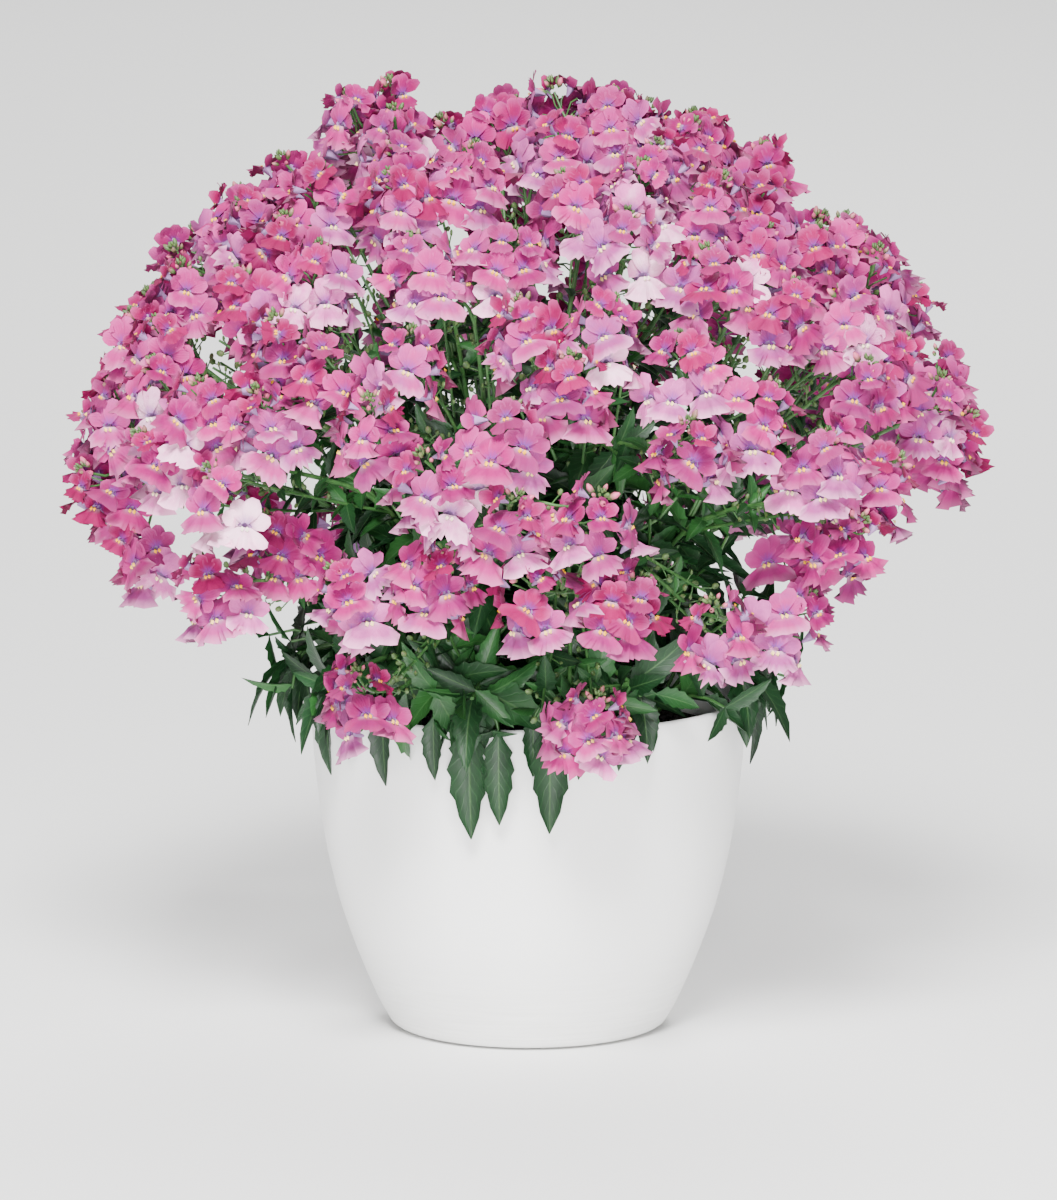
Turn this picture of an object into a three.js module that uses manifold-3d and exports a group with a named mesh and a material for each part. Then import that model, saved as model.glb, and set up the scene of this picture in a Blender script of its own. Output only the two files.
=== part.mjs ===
// Potted nemesia: a dome of small two-lipped pink florets on branching leafy stems, grown in soil
// in a plain white pot. Millimetres, +Z up. The origin is the middle of the pot's underside, and
// the front of the plant looks along -Y.
import * as THREE from 'three';
import { mergeVertices } from 'three/addons/utils/BufferGeometryUtils.js';
import Module from 'manifold-3d';

// Pot
const POT_SIDES = 28;
const WALL = 3;
const FLOOR = 4;
const POT_HEIGHT = 138;
// Outer radius against height, from the foot to the rim.
const POT_PROFILE = [
  [49, 0], [55.5, 1.5], [59, 6], [64, 16], [72, 35.5], [79, 57], [84.5, 83], [88, 112], [89.3, 134],
];
// The wall's inner face is drawn from fewer of those points.
const INSIDE_PROFILE = [[64, 16], [79, 57], [88, 112]];
// The round of the rim, as a radius and a depth below its top.
const RIM_ROUND = [[88.7, 1], [87.5, 0], [86.3, 1.2]];
const FLOOR_RADIUS = 52;

// Soil
const SOIL_TOP = 123;
const SOIL_CROWN = 2.5;
const SOIL_RADIUS = 84.3;
const SOIL_FOOT_RADIUS = 51;
const FIT_GAP = 0.3;
const WALL_GAP = 0.4;

// The dome of flowers: a surface that the middles of the heads lie on.
const DOME_RADIUS = 157;
const DOME_MIDDLE = 236;
const DOME_RISE = 125;
const DOME_DROP = 66;
const DOME_POWER = 1.75;
const DOME_HEADS = 38;
const DOME_LOWEST = 234;
// How finely the dome's outline is measured, and how far a head may lie off its place on the dome.
const DOME_STEPS = 600;
const TURN_STEP = 0.002;
const HEAD_SWELL = [-7, 5];
const BEARING_SWING = 0.05;
// The top has two low crowns, a spacing to the left and right of the middle.
const CROWN_LIFT = 7;
const CROWN_SPACING = 55;
const HEAD_SEED = 11621;
const GOLDEN_TURN = Math.PI * (3 - Math.sqrt(5));
// Heads that hang low over the rim: bearing in degrees from the front, radius and height.
const LOW_HEADS = [
  [-28, 119, 157], [9, 122, 150], [-19, 142, 206], [7, 147, 203], [36, 134, 187], [-52, 136, 198],
  [-150, 128, 190], [162, 128, 182],
];
// How far a head's axis is lifted from the dome's outward direction, and the range of head sizes.
const AXIS_LIFT = 0.25;
const LOW_AXIS_LIFT = 0.15;
const HEAD_SIZES = [0.94, 1.08];
const LOW_HEAD_SIZES = [0.86, 0.94];

// Flower head
const FLORET_SIZE = 18.5;
const FLORET_REACH = 36;
const FLORET_TRIES = 8;
// At each new try a floret comes closer and gets smaller by these shares.
const REACH_LOSS = 0.02;
const SIZE_LOSS = 0.045;
const TIP_TILT = 0.1;
const UPPER_TILT = 0.84;
const LOWER_TILT = 1.2;
const SEAT_RADIUS = 11;
const SEAT_DEPTH = 7;
const TOP_RADIUS = 7;
const TOP_HEIGHT = 6;

// Stems and leaves
const STEM_COUNT = 12;
const TOP_STEMS = 3;
const TOP_SHARE = 0.22;
const MAIN_RADIUS = 3.2;
const MAIN_SIDES = 4;
const MAIN_STEPS = 4;
const BRANCH_RADIUS = 2.4;
const BRANCH_SIDES = 3;
const BRANCH_STEPS = 3;
const TOP_ROOT_RADIUS = 15;
const OUTER_ROOT_RADIUS = 52;
const ROOT_DEPTH = 42;
const FOOT_RADIUS = 2.2;
const FOOT_SIDES = 6;
const FOOT_TOP = 3;
const FOOT_OVERLAP = 1.5;
const HOLE_GAP = 0.35;
// How far a curve runs straight on from each of its ends, as a share of its span.
const STEM_RISE = 0.4;
const BRANCH_BEND = 0.35;
// How much a branch turns towards its end as it leaves its stem.
const BRANCH_PULL = 0.8;
// Where the branches and the rim shoot leave the main stem, as shares of its length.
const FIRST_BRANCH = 0.25;
const LAST_BRANCH = 0.7;
const SHOOT_START = 0.12;
const RIM_SHOOT_RADIUS = 99;
const RIM_SHOOT_HEIGHT = 152;
const SHOOT_SWING = 0.12;
const SHOOT_DIP = -0.35;
const STEM_LEAVES = [0.12, 0.24, 0.38];
// The two leaves of a pair are this far apart along the stem, and each pair turns on from the last.
const PAIR_STEP = 0.03;
const FIRST_ROLL = 0.4;
const PAIR_ROLL = 1.4;
const BRANCH_LEAF_PLACE = 0.5;
const BRANCH_ROLL = 1.9;
const RIM_LEAVES = [[0.98, 0], [0.9, -1.1], [0.82, 1.1]];
// Length of each kind of leaf and how far its tip droops, as a share of its length.
const STEM_LEAF = { size: 50, droop: 0.3 };
const BRANCH_LEAF = { size: 38, droop: 0.25 };
const RIM_LEAF = { size: 46, droop: 0.2 };
const LEAF_TRIES = 14;
const LEAF_WIDTHS = [0.4, 0.48];
const PLANT_SEED = 913;
const CLEARANCE = 0.45;

// Points closer than this are one point.
const MERGE_DISTANCE = 1e-4;

const wasm = await Module();
wasm.setup();

// Random numbers from a fixed seed, the same on every run.
function seeded(seed) {
  let state = seed;
  return (low, high) => {
    state = (state * 48271) % 2147483647;
    return low + (high - low) * (state / 2147483647);
  };
}

const toRadians = THREE.MathUtils.degToRad;
const FULL_TURN = Math.PI * 2;

// A point on a circle round the pot's axis: the bearing is counted from the front, to the right.
function polar(bearing, radius, height) {
  return new THREE.Vector3(radius * Math.sin(bearing), -radius * Math.cos(bearing), height);
}

// Booleans

function solidOf(geometry) {
  const bare = geometry.index ? geometry.toNonIndexed() : geometry.clone();
  bare.deleteAttribute('normal');
  bare.deleteAttribute('uv');
  const merged = mergeVertices(bare, MERGE_DISTANCE);
  return new wasm.Manifold(new wasm.Mesh({
    numProp: 3,
    vertProperties: new Float32Array(merged.attributes.position.array),
    triVerts: new Uint32Array(merged.index.array),
  }));
}

function geometryOf(solid) {
  const mesh = solid.getMesh();
  const geometry = new THREE.BufferGeometry();
  geometry.setAttribute('position', new THREE.BufferAttribute(mesh.vertProperties, 3));
  geometry.setIndex(new THREE.BufferAttribute(mesh.triVerts, 1));
  geometry.computeVertexNormals();
  return geometry;
}

// Keeps the largest body, so that no loose scrap stays in a node.
function largestBody(solid) {
  const bodies = solid.decompose();
  bodies.sort((a, b) => b.volume() - a.volume());
  return bodies[0];
}

function isClear(solid, others) {
  return others.every((other) => !boxesMeet(solid, other) || solid.minGap(other, CLEARANCE) >= CLEARANCE);
}

function boxesMeet(a, b) {
  const boxA = a.boundingBox();
  const boxB = b.boundingBox();
  return [0, 1, 2].every((i) => boxA.min[i] - CLEARANCE <= boxB.max[i]
    && boxB.min[i] - CLEARANCE <= boxA.max[i]);
}

// A closed solid from triangles of corner points.
function solidFrom(triangles) {
  const geometry = new THREE.BufferGeometry();
  const numbers = triangles.flat().flatMap((point) => point.toArray());
  geometry.setAttribute('position', new THREE.Float32BufferAttribute(numbers, 3));
  return solidOf(geometry);
}

// Pot: one wall turned about the axis, with a rounded rim and a rounded foot.

function makePot() {
  const outside = POT_PROFILE.map(([radius, height]) => new THREE.Vector2(radius, height));
  const rim = RIM_ROUND.map(([radius, depth]) => new THREE.Vector2(radius, POT_HEIGHT - depth));
  const inside = INSIDE_PROFILE.slice().reverse()
    .map(([radius, height]) => new THREE.Vector2(radius - WALL, height));
  const floor = [new THREE.Vector2(FLOOR_RADIUS, FLOOR), new THREE.Vector2(0, FLOOR)];
  const profile = [new THREE.Vector2(0, 0), ...outside, ...rim, ...inside, ...floor];
  return turned(profile, POT_SIDES);
}

function turned(profile, sides) {
  const geometry = new THREE.LatheGeometry(profile, sides);
  geometry.rotateX(Math.PI / 2);
  return solidOf(geometry);
}

// Soil: fills the pot up to a slightly crowned top.
function makeSoil() {
  const side = INSIDE_PROFILE
    .map(([radius, height]) => new THREE.Vector2(radius - WALL - WALL_GAP, height));
  const profile = [
    new THREE.Vector2(0, FLOOR + FIT_GAP),
    new THREE.Vector2(SOIL_FOOT_RADIUS, FLOOR + FIT_GAP),
    ...side,
    new THREE.Vector2(SOIL_RADIUS, SOIL_TOP - SOIL_CROWN),
    new THREE.Vector2(0, SOIL_TOP),
  ];
  return turned(profile, POT_SIDES);
}

// Places of the flower heads

// A point of the dome and its outward direction, from the share of the way down its outline.
function domePoint(turn, bearing) {
  const across = Math.abs(Math.sin(turn)) ** (2 / DOME_POWER);
  const up = Math.sign(Math.cos(turn)) * Math.abs(Math.cos(turn)) ** (2 / DOME_POWER);
  const rise = up >= 0 ? DOME_RISE : DOME_DROP;
  const point = polar(bearing, DOME_RADIUS * across, DOME_MIDDLE + rise * up);
  const slope = Math.max(across, 0.02) ** (DOME_POWER - 1) / DOME_RADIUS;
  const lift = Math.sign(up) * Math.abs(up) ** (DOME_POWER - 1) / rise;
  const outward = polar(bearing, slope, lift).normalize();
  return { point, outward };
}

// Turns of the outline that split the dome's surface into bands of equal area.
function evenTurns(count) {
  const lowest = lowestTurn();
  const area = [0];
  let before = domePoint(0, 0).point;
  for (let i = 1; i <= DOME_STEPS; i += 1) {
    const next = domePoint((lowest * i) / DOME_STEPS, 0).point;
    area.push(area[i - 1] + before.distanceTo(next) * Math.abs(before.y + next.y) / 2);
    before = next;
  }
  const turns = [];
  for (let k = 0; k < count; k += 1) {
    const wanted = area[DOME_STEPS] * (k + 0.5) / count;
    turns.push((lowest * area.findIndex((value) => value >= wanted)) / DOME_STEPS);
  }
  return turns;
}

function lowestTurn() {
  let turn = Math.PI / 2;
  while (domePoint(turn, 0).point.z > DOME_LOWEST) {
    turn += TURN_STEP;
  }
  return turn;
}

// Every head: its middle, the way that it faces, its bearing and a size of its own.
function placeHeads() {
  const random = seeded(HEAD_SEED);
  const heads = evenTurns(DOME_HEADS).map((turn, k) => {
    const bearing = k * GOLDEN_TURN + random(-BEARING_SWING, BEARING_SWING);
    const { point, outward } = domePoint(turn, bearing);
    point.addScaledVector(outward, random(...HEAD_SWELL));
    point.z -= CROWN_LIFT * Math.cos((Math.PI * point.x) / CROWN_SPACING) * Math.max(0, outward.z);
    const axis = outward.clone().add(new THREE.Vector3(0, 0, AXIS_LIFT)).normalize();
    return { bearing, point, axis, size: random(...HEAD_SIZES), spin: random(0, FULL_TURN) };
  });
  LOW_HEADS.forEach(([degrees, radius, height]) => {
    const bearing = toRadians(degrees);
    const axis = polar(bearing, 1, LOW_AXIS_LIFT).normalize();
    const point = polar(bearing, radius, height);
    heads.push({ bearing, point, axis, size: random(...LOW_HEAD_SIZES), spin: random(0, FULL_TURN) });
  });
  return heads;
}

// Florets

// Outline of a floret seen from the front, as [angle in degrees, share of its size, depth].
// Four upper lobes stand over a broad lower lip with two lobes.
const FLORET_SIDE = [[-44, 1.1, 0.1], [-2, 0.46, -0.06], [36, 0.92, 0.02], [72, 1.02, 0.08]];
const FLORET_OUTLINE = [
  [-90, 0.84, 0.14],
  ...FLORET_SIDE,
  [90, 0.66, 0],
  ...FLORET_SIDE.slice().reverse().map(([angle, share, depth]) => [180 - angle, share, depth]),
];
const THROAT_DEPTH = 0.2;
const THROAT_DROP = 0.04;
const NECK_DEPTH = 0.42;
const NECK_RADIUS = 2.4;

// A floret is a lobed dish that narrows behind to a three-cornered neck. A tube joins the neck to
// `face`, one three-cornered face of the head's core.
function makeFloret(size, placed, face) {
  const back = placed.clone().invert();
  const middle = new THREE.Vector3().add(face[0]).add(face[1]).add(face[2]).divideScalar(3);
  const localMiddle = middle.applyMatrix4(back);
  const outline = FLORET_OUTLINE.map(([degrees, share, depth]) => {
    const angle = toRadians(degrees);
    return new THREE.Vector3(size * share * Math.cos(angle), size * share * Math.sin(angle), size * depth);
  });
  const neck = face.map((corner) => {
    const away = corner.clone().applyMatrix4(back).sub(localMiddle).setZ(0).setLength(NECK_RADIUS);
    return away.setZ(-size * NECK_DEPTH);
  });
  const throat = new THREE.Vector3(0, -size * THROAT_DROP, -size * THROAT_DEPTH);
  [...outline, ...neck, throat].forEach((point) => point.applyMatrix4(placed));
  const rim = outline.map((point, i) => [point, outline[(i + 1) % outline.length]]);
  const dish = [...rim.map(([from, to]) => [from, to, throat]), ...stitch(outline, neck, placed)];
  const tube = neck.flatMap((corner, j) => {
    const k = (j + 1) % 3;
    return [[neck[k], corner, face[j]], [neck[k], face[j], face[k]]];
  });
  return { dish, neck, tube };
}

// The back of a dish: triangles between its outline and its neck, both seen as rings of angles.
function stitch(outline, neck, placed) {
  const back = placed.clone().invert();
  const angleOf = (point) => {
    const local = point.clone().applyMatrix4(back);
    return Math.atan2(local.y, local.x);
  };
  const wrap = (angle) => ((angle + Math.PI) % (2 * Math.PI) + 2 * Math.PI) % (2 * Math.PI) - Math.PI;
  const owner = outline.map((point) => {
    const gaps = neck.map((corner) => Math.abs(wrap(angleOf(point) - angleOf(corner))));
    return gaps.indexOf(Math.min(...gaps));
  });
  return outline.flatMap((point, i) => {
    const next = (i + 1) % outline.length;
    const triangles = [[outline[next], point, neck[owner[i]]]];
    if (owner[next] !== owner[i]) {
      triangles.push([outline[next], neck[owner[i]], neck[owner[next]]]);
    }
    return triangles;
  });
}

// Turns a floret to look along `outward` with its upper lobes towards `up`, and moves it out.
function aim(outward, up, place) {
  const forward = outward.clone().normalize();
  const side = new THREE.Vector3().crossVectors(up, forward).normalize();
  const top = new THREE.Vector3().crossVectors(forward, side);
  return new THREE.Matrix4().makeBasis(side, top, forward).setPosition(place);
}

// The core of a head is a small knob: a flat three-cornered seat below, a smaller top face above
// it, turned by a sixth of a turn, and six faces between. Each face but the seat bears a floret.
function coreFaces(head) {
  const placed = headTurn(head);
  const corner = (turn, radius, height) => new THREE.Vector3(
    radius * Math.cos(turn), radius * Math.sin(turn), height,
  ).multiplyScalar(head.size).applyMatrix4(placed);
  const third = FULL_TURN / 3;
  const low = [0, 1, 2].map((k) => corner(head.spin + k * third, SEAT_RADIUS, -SEAT_DEPTH));
  const high = [0, 1, 2].map((k) => corner(head.spin + (k + 0.5) * third, TOP_RADIUS, TOP_HEIGHT));
  const seat = [low[0], low[2], low[1]];
  const faces = [{ face: high, tilt: TIP_TILT, around: 0 }];
  [0, 1, 2].forEach((k) => {
    const next = (k + 1) % 3;
    faces.push({ face: [low[next], high[next], high[k]], tilt: UPPER_TILT, around: (k + 1) * third });
    faces.push({ face: [low[k], low[next], high[k]], tilt: LOWER_TILT, around: (k + 0.5) * third });
  });
  return { seat, faces };
}

function headTurn(head) {
  const helper = Math.abs(head.axis.z) > 0.9 ? polar(head.bearing, 1, 0) : new THREE.Vector3(0, 0, 1);
  return aim(head.axis, helper, head.point);
}

// One head: florets all round its core, each bent clear of its neighbours.
function makeHead(head, others, random) {
  const { seat, faces } = coreFaces(head);
  const triangles = [seat];
  const dishes = [];
  faces.forEach((place) => {
    for (let attempt = 0; attempt < FLORET_TRIES; attempt += 1) {
      const { dish, neck, tube } = tryFloret(head, place, attempt, random);
      const alone = solidFrom([...dish, [neck[0], neck[2], neck[1]]]);
      const { face } = place;
      const rooted = solidFrom([...dish, ...tube, [face[0], face[2], face[1]]]);
      if (isClear(alone, dishes) && isClear(rooted, others)) {
        dishes.push(alone);
        triangles.push(...dish, ...tube);
        return;
      }
    }
    triangles.push(place.face);
  });
  return solidFrom(triangles);
}

// A floret for one face of a head, a little smaller and closer at each new attempt.
function tryFloret(head, place, attempt, random) {
  const around = head.spin + place.around + random(-0.1, 0.1);
  const tilt = place.tilt + random(-0.05, 0.05);
  const reach = FLORET_REACH * head.size * random(0.95, 1.04) * (1 - attempt * REACH_LOSS);
  const outward = new THREE.Vector3(
    Math.sin(tilt) * Math.cos(around), Math.sin(tilt) * Math.sin(around), Math.cos(tilt),
  ).transformDirection(headTurn(head));
  const size = FLORET_SIZE * head.size * random(0.92, 1.04) * (1 - attempt * SIZE_LOSS);
  const up = new THREE.Vector3(random(-0.25, 0.25), random(-0.25, 0.25), 1);
  const placed = aim(outward, up, head.point.clone().addScaledVector(outward, reach));
  return makeFloret(size, placed, place.face);
}

// Stems

// Groups the heads: those at the top share the middle stems, the others the stems round them.
function groupHeads(heads) {
  const groups = Array.from({ length: STEM_COUNT }, () => []);
  const topCount = Math.round(DOME_HEADS * TOP_SHARE);
  heads.forEach((head, index) => {
    const share = ((head.bearing / FULL_TURN) % 1 + 1) % 1;
    const onTop = index < topCount;
    const sectors = onTop ? TOP_STEMS : STEM_COUNT - TOP_STEMS;
    const sector = Math.floor(share * sectors);
    groups[onTop ? sector : TOP_STEMS + sector].push(head);
  });
  return groups;
}

// A stem along a curve, with a corner at each of its `sides`: a main stem is square, like a
// nemesia's four-angled one, and a branch is three-sided.
function makeStem(curve, radius, sides, steps) {
  const corners = Array.from({ length: sides }, (_, k) => {
    const angle = (k * FULL_TURN) / sides;
    return new THREE.Vector2(radius * Math.cos(angle), radius * Math.sin(angle));
  });
  const section = new THREE.Shape(corners);
  return solidOf(new THREE.ExtrudeGeometry(section, { steps, bevelEnabled: false, extrudePath: curve }));
}

// The round foot of a main stem, or the plain hole that it stands in: it ends above the soil.
function makeFoot(root, radius) {
  const length = ROOT_DEPTH + FOOT_TOP;
  const geometry = new THREE.CylinderGeometry(radius, radius, length, FOOT_SIDES);
  geometry.rotateX(Math.PI / 2);
  geometry.translate(root.x, root.y, root.z + FOOT_OVERLAP - length / 2);
  return solidOf(geometry);
}

// The curves of one plant: a main stem out of its hole in the soil to its highest head, branches
// off it to the other heads, and on the outer plants a shoot that leans out over the rim.
function stemCurves(group, index) {
  const onTop = index < TOP_STEMS;
  const sectors = onTop ? TOP_STEMS : STEM_COUNT - TOP_STEMS;
  const bearing = ((onTop ? index : index - TOP_STEMS) + 0.5) * FULL_TURN / sectors;
  const root = polar(bearing, onTop ? TOP_ROOT_RADIUS : OUTER_ROOT_RADIUS, SOIL_TOP + FOOT_TOP);
  const byHeight = group.slice().sort((a, b) => b.point.z - a.point.z);
  const [highest, ...lower] = byHeight.map((head) => ({ head, seat: seatOf(head) }));
  const rise = highest.seat.distanceTo(root) * STEM_RISE;
  const upright = new THREE.CubicBezierCurve3(root, root.clone().setZ(root.z + rise),
    highest.seat.clone().addScaledVector(highest.head.axis, -rise), highest.seat);
  const branches = lower.map(({ head, seat }, k) => {
    const along = FIRST_BRANCH + (LAST_BRANCH - FIRST_BRANCH) * (1 - (k + 0.5) / lower.length);
    return branchCurve(upright, along, seat, head.axis);
  });
  const shoots = onTop ? [] : [branchCurve(upright, SHOOT_START,
    polar(bearing + SHOOT_SWING, RIM_SHOOT_RADIUS, RIM_SHOOT_HEIGHT),
    polar(bearing, 1, SHOOT_DIP).normalize())];
  return { bearing, root, upright, branches, shoots };
}

function seatOf(head) {
  return head.point.clone().addScaledVector(head.axis, -SEAT_DEPTH * head.size - FIT_GAP);
}

// A branch that leaves its stem along the stem and arrives along `axis`.
function branchCurve(stem, along, end, axis) {
  const start = stem.getPoint(along);
  const span = start.distanceTo(end);
  const ahead = end.clone().sub(start).normalize();
  const leave = stem.getTangent(along).addScaledVector(ahead, BRANCH_PULL).normalize();
  return new THREE.CubicBezierCurve3(start, start.clone().addScaledVector(leave, span * BRANCH_BEND),
    end.clone().addScaledVector(axis, -span * BRANCH_BEND), end);
}

// Leaves

// A lance-shaped leaf with a toothed edge, folded along its midrib and arched: it grows along
// its own +X, is `length` long, `width` wide and droops by `droop` at the tip.
const LEAF_EDGE = [[0.2, 0.74], [0.3, 0.56], [0.5, 1], [0.62, 0.7]];
const LEAF_RIB = 0.46;
const LEAF_FOLD = 0.14;
const LEAF_THICKNESS = 1.5;
const LEAF_SINK = 1.2;
const LEAF_LEAN = 0.7;
const LEAF_REFERENCE = new THREE.Vector3(0.1, 0.2, 1);

function makeLeaf(length, width, droop) {
  const arch = (along) => -droop * along * along;
  const fold = width * LEAF_FOLD;
  const root = new THREE.Vector3(0, 0, 0);
  const tip = new THREE.Vector3(length, 0, arch(1));
  const upperRib = new THREE.Vector3(LEAF_RIB * length, 0, arch(LEAF_RIB));
  const lowerRib = upperRib.clone().setZ(upperRib.z - LEAF_THICKNESS);
  const edges = [1, -1].map((side) => LEAF_EDGE.map(([along, share]) => (
    new THREE.Vector3(along * length, side * share * width / 2, arch(along) + fold * share))));
  const outline = [root, ...edges[1], tip, ...edges[0].reverse()];
  return outline.flatMap((corner, k) => {
    const next = outline[(k + 1) % outline.length];
    return [[corner, next, upperRib], [next, corner, lowerRib]];
  });
}

// Puts a leaf's root in a stem at `place`, growing along `heading`.
function plantLeaf(triangles, place, heading, random) {
  const along = heading.clone().normalize();
  const flatUp = place.clone().setZ(0).setLength(LEAF_LEAN)
    .add(new THREE.Vector3(random(-0.5, 0.5), random(-0.5, 0.5), 1));
  const side = new THREE.Vector3().crossVectors(flatUp, along).normalize();
  const up = new THREE.Vector3().crossVectors(along, side);
  const placed = new THREE.Matrix4().makeBasis(along, side, up).setPosition(place);
  return solidFrom(triangles.map((corners) => corners.map((point) => point.clone().applyMatrix4(placed))));
}

// Grows leaves on one plant: three pairs on the main stem, one on each branch, and a few at the tip
// of each rim shoot that hang over the rim. A leaf that would cross another piece tries again.
function growLeaves(curves, others, random) {
  const leaves = [];
  const grow = (curve, along, headingAt, { size, droop }) => {
    for (let attempt = 0; attempt < LEAF_TRIES; attempt += 1) {
      const heading = headingAt(curve.getTangent(along), attempt).normalize();
      const length = size * random(0.9, 1.15) * (1 - attempt * 0.04);
      const root = curve.getPoint(along).addScaledVector(heading, -LEAF_SINK);
      const blade = makeLeaf(length, length * random(...LEAF_WIDTHS), length * droop * random(0.7, 1.3));
      const leaf = plantLeaf(blade, root, heading, random);
      if (isClear(leaf, [...others, ...leaves])) {
        leaves.push(leaf);
        return;
      }
    }
  };
  const rising = (roll) => (tangent, attempt) => {
    const sideways = new THREE.Vector3().crossVectors(tangent, LEAF_REFERENCE).normalize();
    return sideways.applyAxisAngle(tangent, roll + random(-0.2, 0.2) * (1 + attempt))
      .addScaledVector(tangent, random(0.25, 0.7));
  };
  const hanging = (aside) => (tangent, attempt) => (
    polar(curves.bearing + aside + random(-0.1, 0.1) * (1 + attempt), 0.5, random(-1, -0.7)));
  STEM_LEAVES.forEach((along, k) => {
    const roll = FIRST_ROLL + k * PAIR_ROLL;
    grow(curves.upright, along, rising(roll), STEM_LEAF);
    grow(curves.upright, along + PAIR_STEP, rising(roll + Math.PI), STEM_LEAF);
  });
  curves.branches.forEach((branch, k) => (
    grow(branch, BRANCH_LEAF_PLACE, rising(k * BRANCH_ROLL), BRANCH_LEAF)));
  curves.shoots.forEach((shoot) => {
    RIM_LEAVES.forEach(([along, aside]) => grow(shoot, along, hanging(aside), RIM_LEAF));
  });
  return leaves;
}

// The whole plant

function build() {
  const heads = placeHeads();
  const groups = groupHeads(heads);
  const allCurves = groups.map(stemCurves);
  const stems = allCurves.map(({ root, upright, branches, shoots }) => wasm.Manifold.union([
    makeFoot(root, FOOT_RADIUS),
    makeStem(upright, MAIN_RADIUS, MAIN_SIDES, MAIN_STEPS),
    ...[...branches, ...shoots].map((curve) => makeStem(curve, BRANCH_RADIUS, BRANCH_SIDES, BRANCH_STEPS)),
  ]));
  const pot = makePot();
  let soil = makeSoil();
  allCurves.forEach(({ root }) => {
    soil = soil.subtract(makeFoot(root.clone().setZ(root.z - FIT_GAP), FOOT_RADIUS + HOLE_GAP));
  });
  const random = seeded(PLANT_SEED);
  const headSolids = [];
  heads.forEach((head) => headSolids.push(makeHead(head, [...headSolids, ...stems], random)));
  const plants = stems.slice();
  allCurves.forEach((curves, k) => {
    const others = [pot, soil, ...headSolids, ...plants.filter((_, j) => j !== k)];
    plants[k] = largestBody(wasm.Manifold.union([plants[k], ...growLeaves(curves, others, random)]));
  });
  return { pot, soil, plants, headSolids };
}

function finish(color, roughness) {
  return new THREE.MeshStandardMaterial({ color, roughness, metalness: 0 });
}

const POT_WHITE = finish('#e9e9e8', 0.42);
const SOIL_BROWN = finish('#2b2019', 1);
const LEAF_GREEN = finish('#2f6a35', 0.6);
const PETAL_COLOURS = ['#e5527f', '#e2709f', '#d184b9'];

const { pot, soil, plants, headSolids } = build();
const group = new THREE.Group();

function addPart(name, solid, material) {
  const mesh = new THREE.Mesh(geometryOf(solid), material.clone());
  mesh.name = name;
  group.add(mesh);
}

const twoDigits = (index) => String(index + 1).padStart(2, '0');
addPart('pot', pot, POT_WHITE);
addPart('soil', soil, SOIL_BROWN);
plants.forEach((solid, k) => addPart(`leafy_stem_${twoDigits(k)}`, solid, LEAF_GREEN));
headSolids.forEach((solid, k) => {
  addPart(`flower_head_${twoDigits(k)}`, solid, finish(PETAL_COLOURS[k % PETAL_COLOURS.length], 0.7));
});

export default group;
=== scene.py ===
# %% [markdown]
# # A potted nemesia
# The solids of the plant are plain: each solid head stands for two or three real flower heads, and
# each leafy stem has a few thick leaves. This script dresses them. It puts true-size flowers, buds,
# leaves and stems where the solids are, gives the soil its crumbs and the pot its smooth wall, and
# sets up a camera, a floor and soft lights.

# %% Load the solids
import math
import random
from collections import namedtuple

import bmesh
import bpy
from mathutils import Matrix, Vector, noise


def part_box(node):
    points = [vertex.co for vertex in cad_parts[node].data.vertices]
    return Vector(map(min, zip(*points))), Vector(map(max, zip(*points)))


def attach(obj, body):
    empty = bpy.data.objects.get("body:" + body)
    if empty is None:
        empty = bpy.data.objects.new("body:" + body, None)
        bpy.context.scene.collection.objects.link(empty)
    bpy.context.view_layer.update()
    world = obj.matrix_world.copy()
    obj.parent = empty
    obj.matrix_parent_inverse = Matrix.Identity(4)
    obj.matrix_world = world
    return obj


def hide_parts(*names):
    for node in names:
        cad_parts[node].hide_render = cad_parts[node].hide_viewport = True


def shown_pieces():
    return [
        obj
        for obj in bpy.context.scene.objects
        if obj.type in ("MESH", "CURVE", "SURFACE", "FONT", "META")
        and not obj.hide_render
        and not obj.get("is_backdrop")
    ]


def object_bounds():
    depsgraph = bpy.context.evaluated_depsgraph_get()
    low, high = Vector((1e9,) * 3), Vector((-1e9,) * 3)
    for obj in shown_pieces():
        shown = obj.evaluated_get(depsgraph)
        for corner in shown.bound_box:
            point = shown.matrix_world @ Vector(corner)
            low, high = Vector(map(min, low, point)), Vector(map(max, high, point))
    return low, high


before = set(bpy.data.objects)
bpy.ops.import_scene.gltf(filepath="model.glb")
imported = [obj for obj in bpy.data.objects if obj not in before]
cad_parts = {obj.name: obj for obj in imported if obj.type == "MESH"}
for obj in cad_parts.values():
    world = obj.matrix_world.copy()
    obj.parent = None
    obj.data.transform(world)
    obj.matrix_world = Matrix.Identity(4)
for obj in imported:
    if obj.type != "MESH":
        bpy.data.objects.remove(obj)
MM = 0.001
solid_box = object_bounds()
print("solids:", len(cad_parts), "nodes, high corner", [round(x, 3) for x in solid_box[1]])

# %% [markdown]
# ## Camera, floor and light
# The photograph looks slightly down on the plant. At the plant's axis one millimetre is 2.44 of its
# pixels, so the height of the view there is known, and a lens that is long enough keeps the near
# flowers from looking larger than they should.

# %% Camera
IMAGE_HEIGHT = 1200
PIXELS_PER_MM = 2.44
# The camera's distance and the height that it aims at, in metres, and its sensor in millimetres.
CAMERA_DISTANCE = 3.0
AIM_HEIGHT = 0.1766
CAMERA_TILT = math.radians(9)
SENSOR = 36

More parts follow.
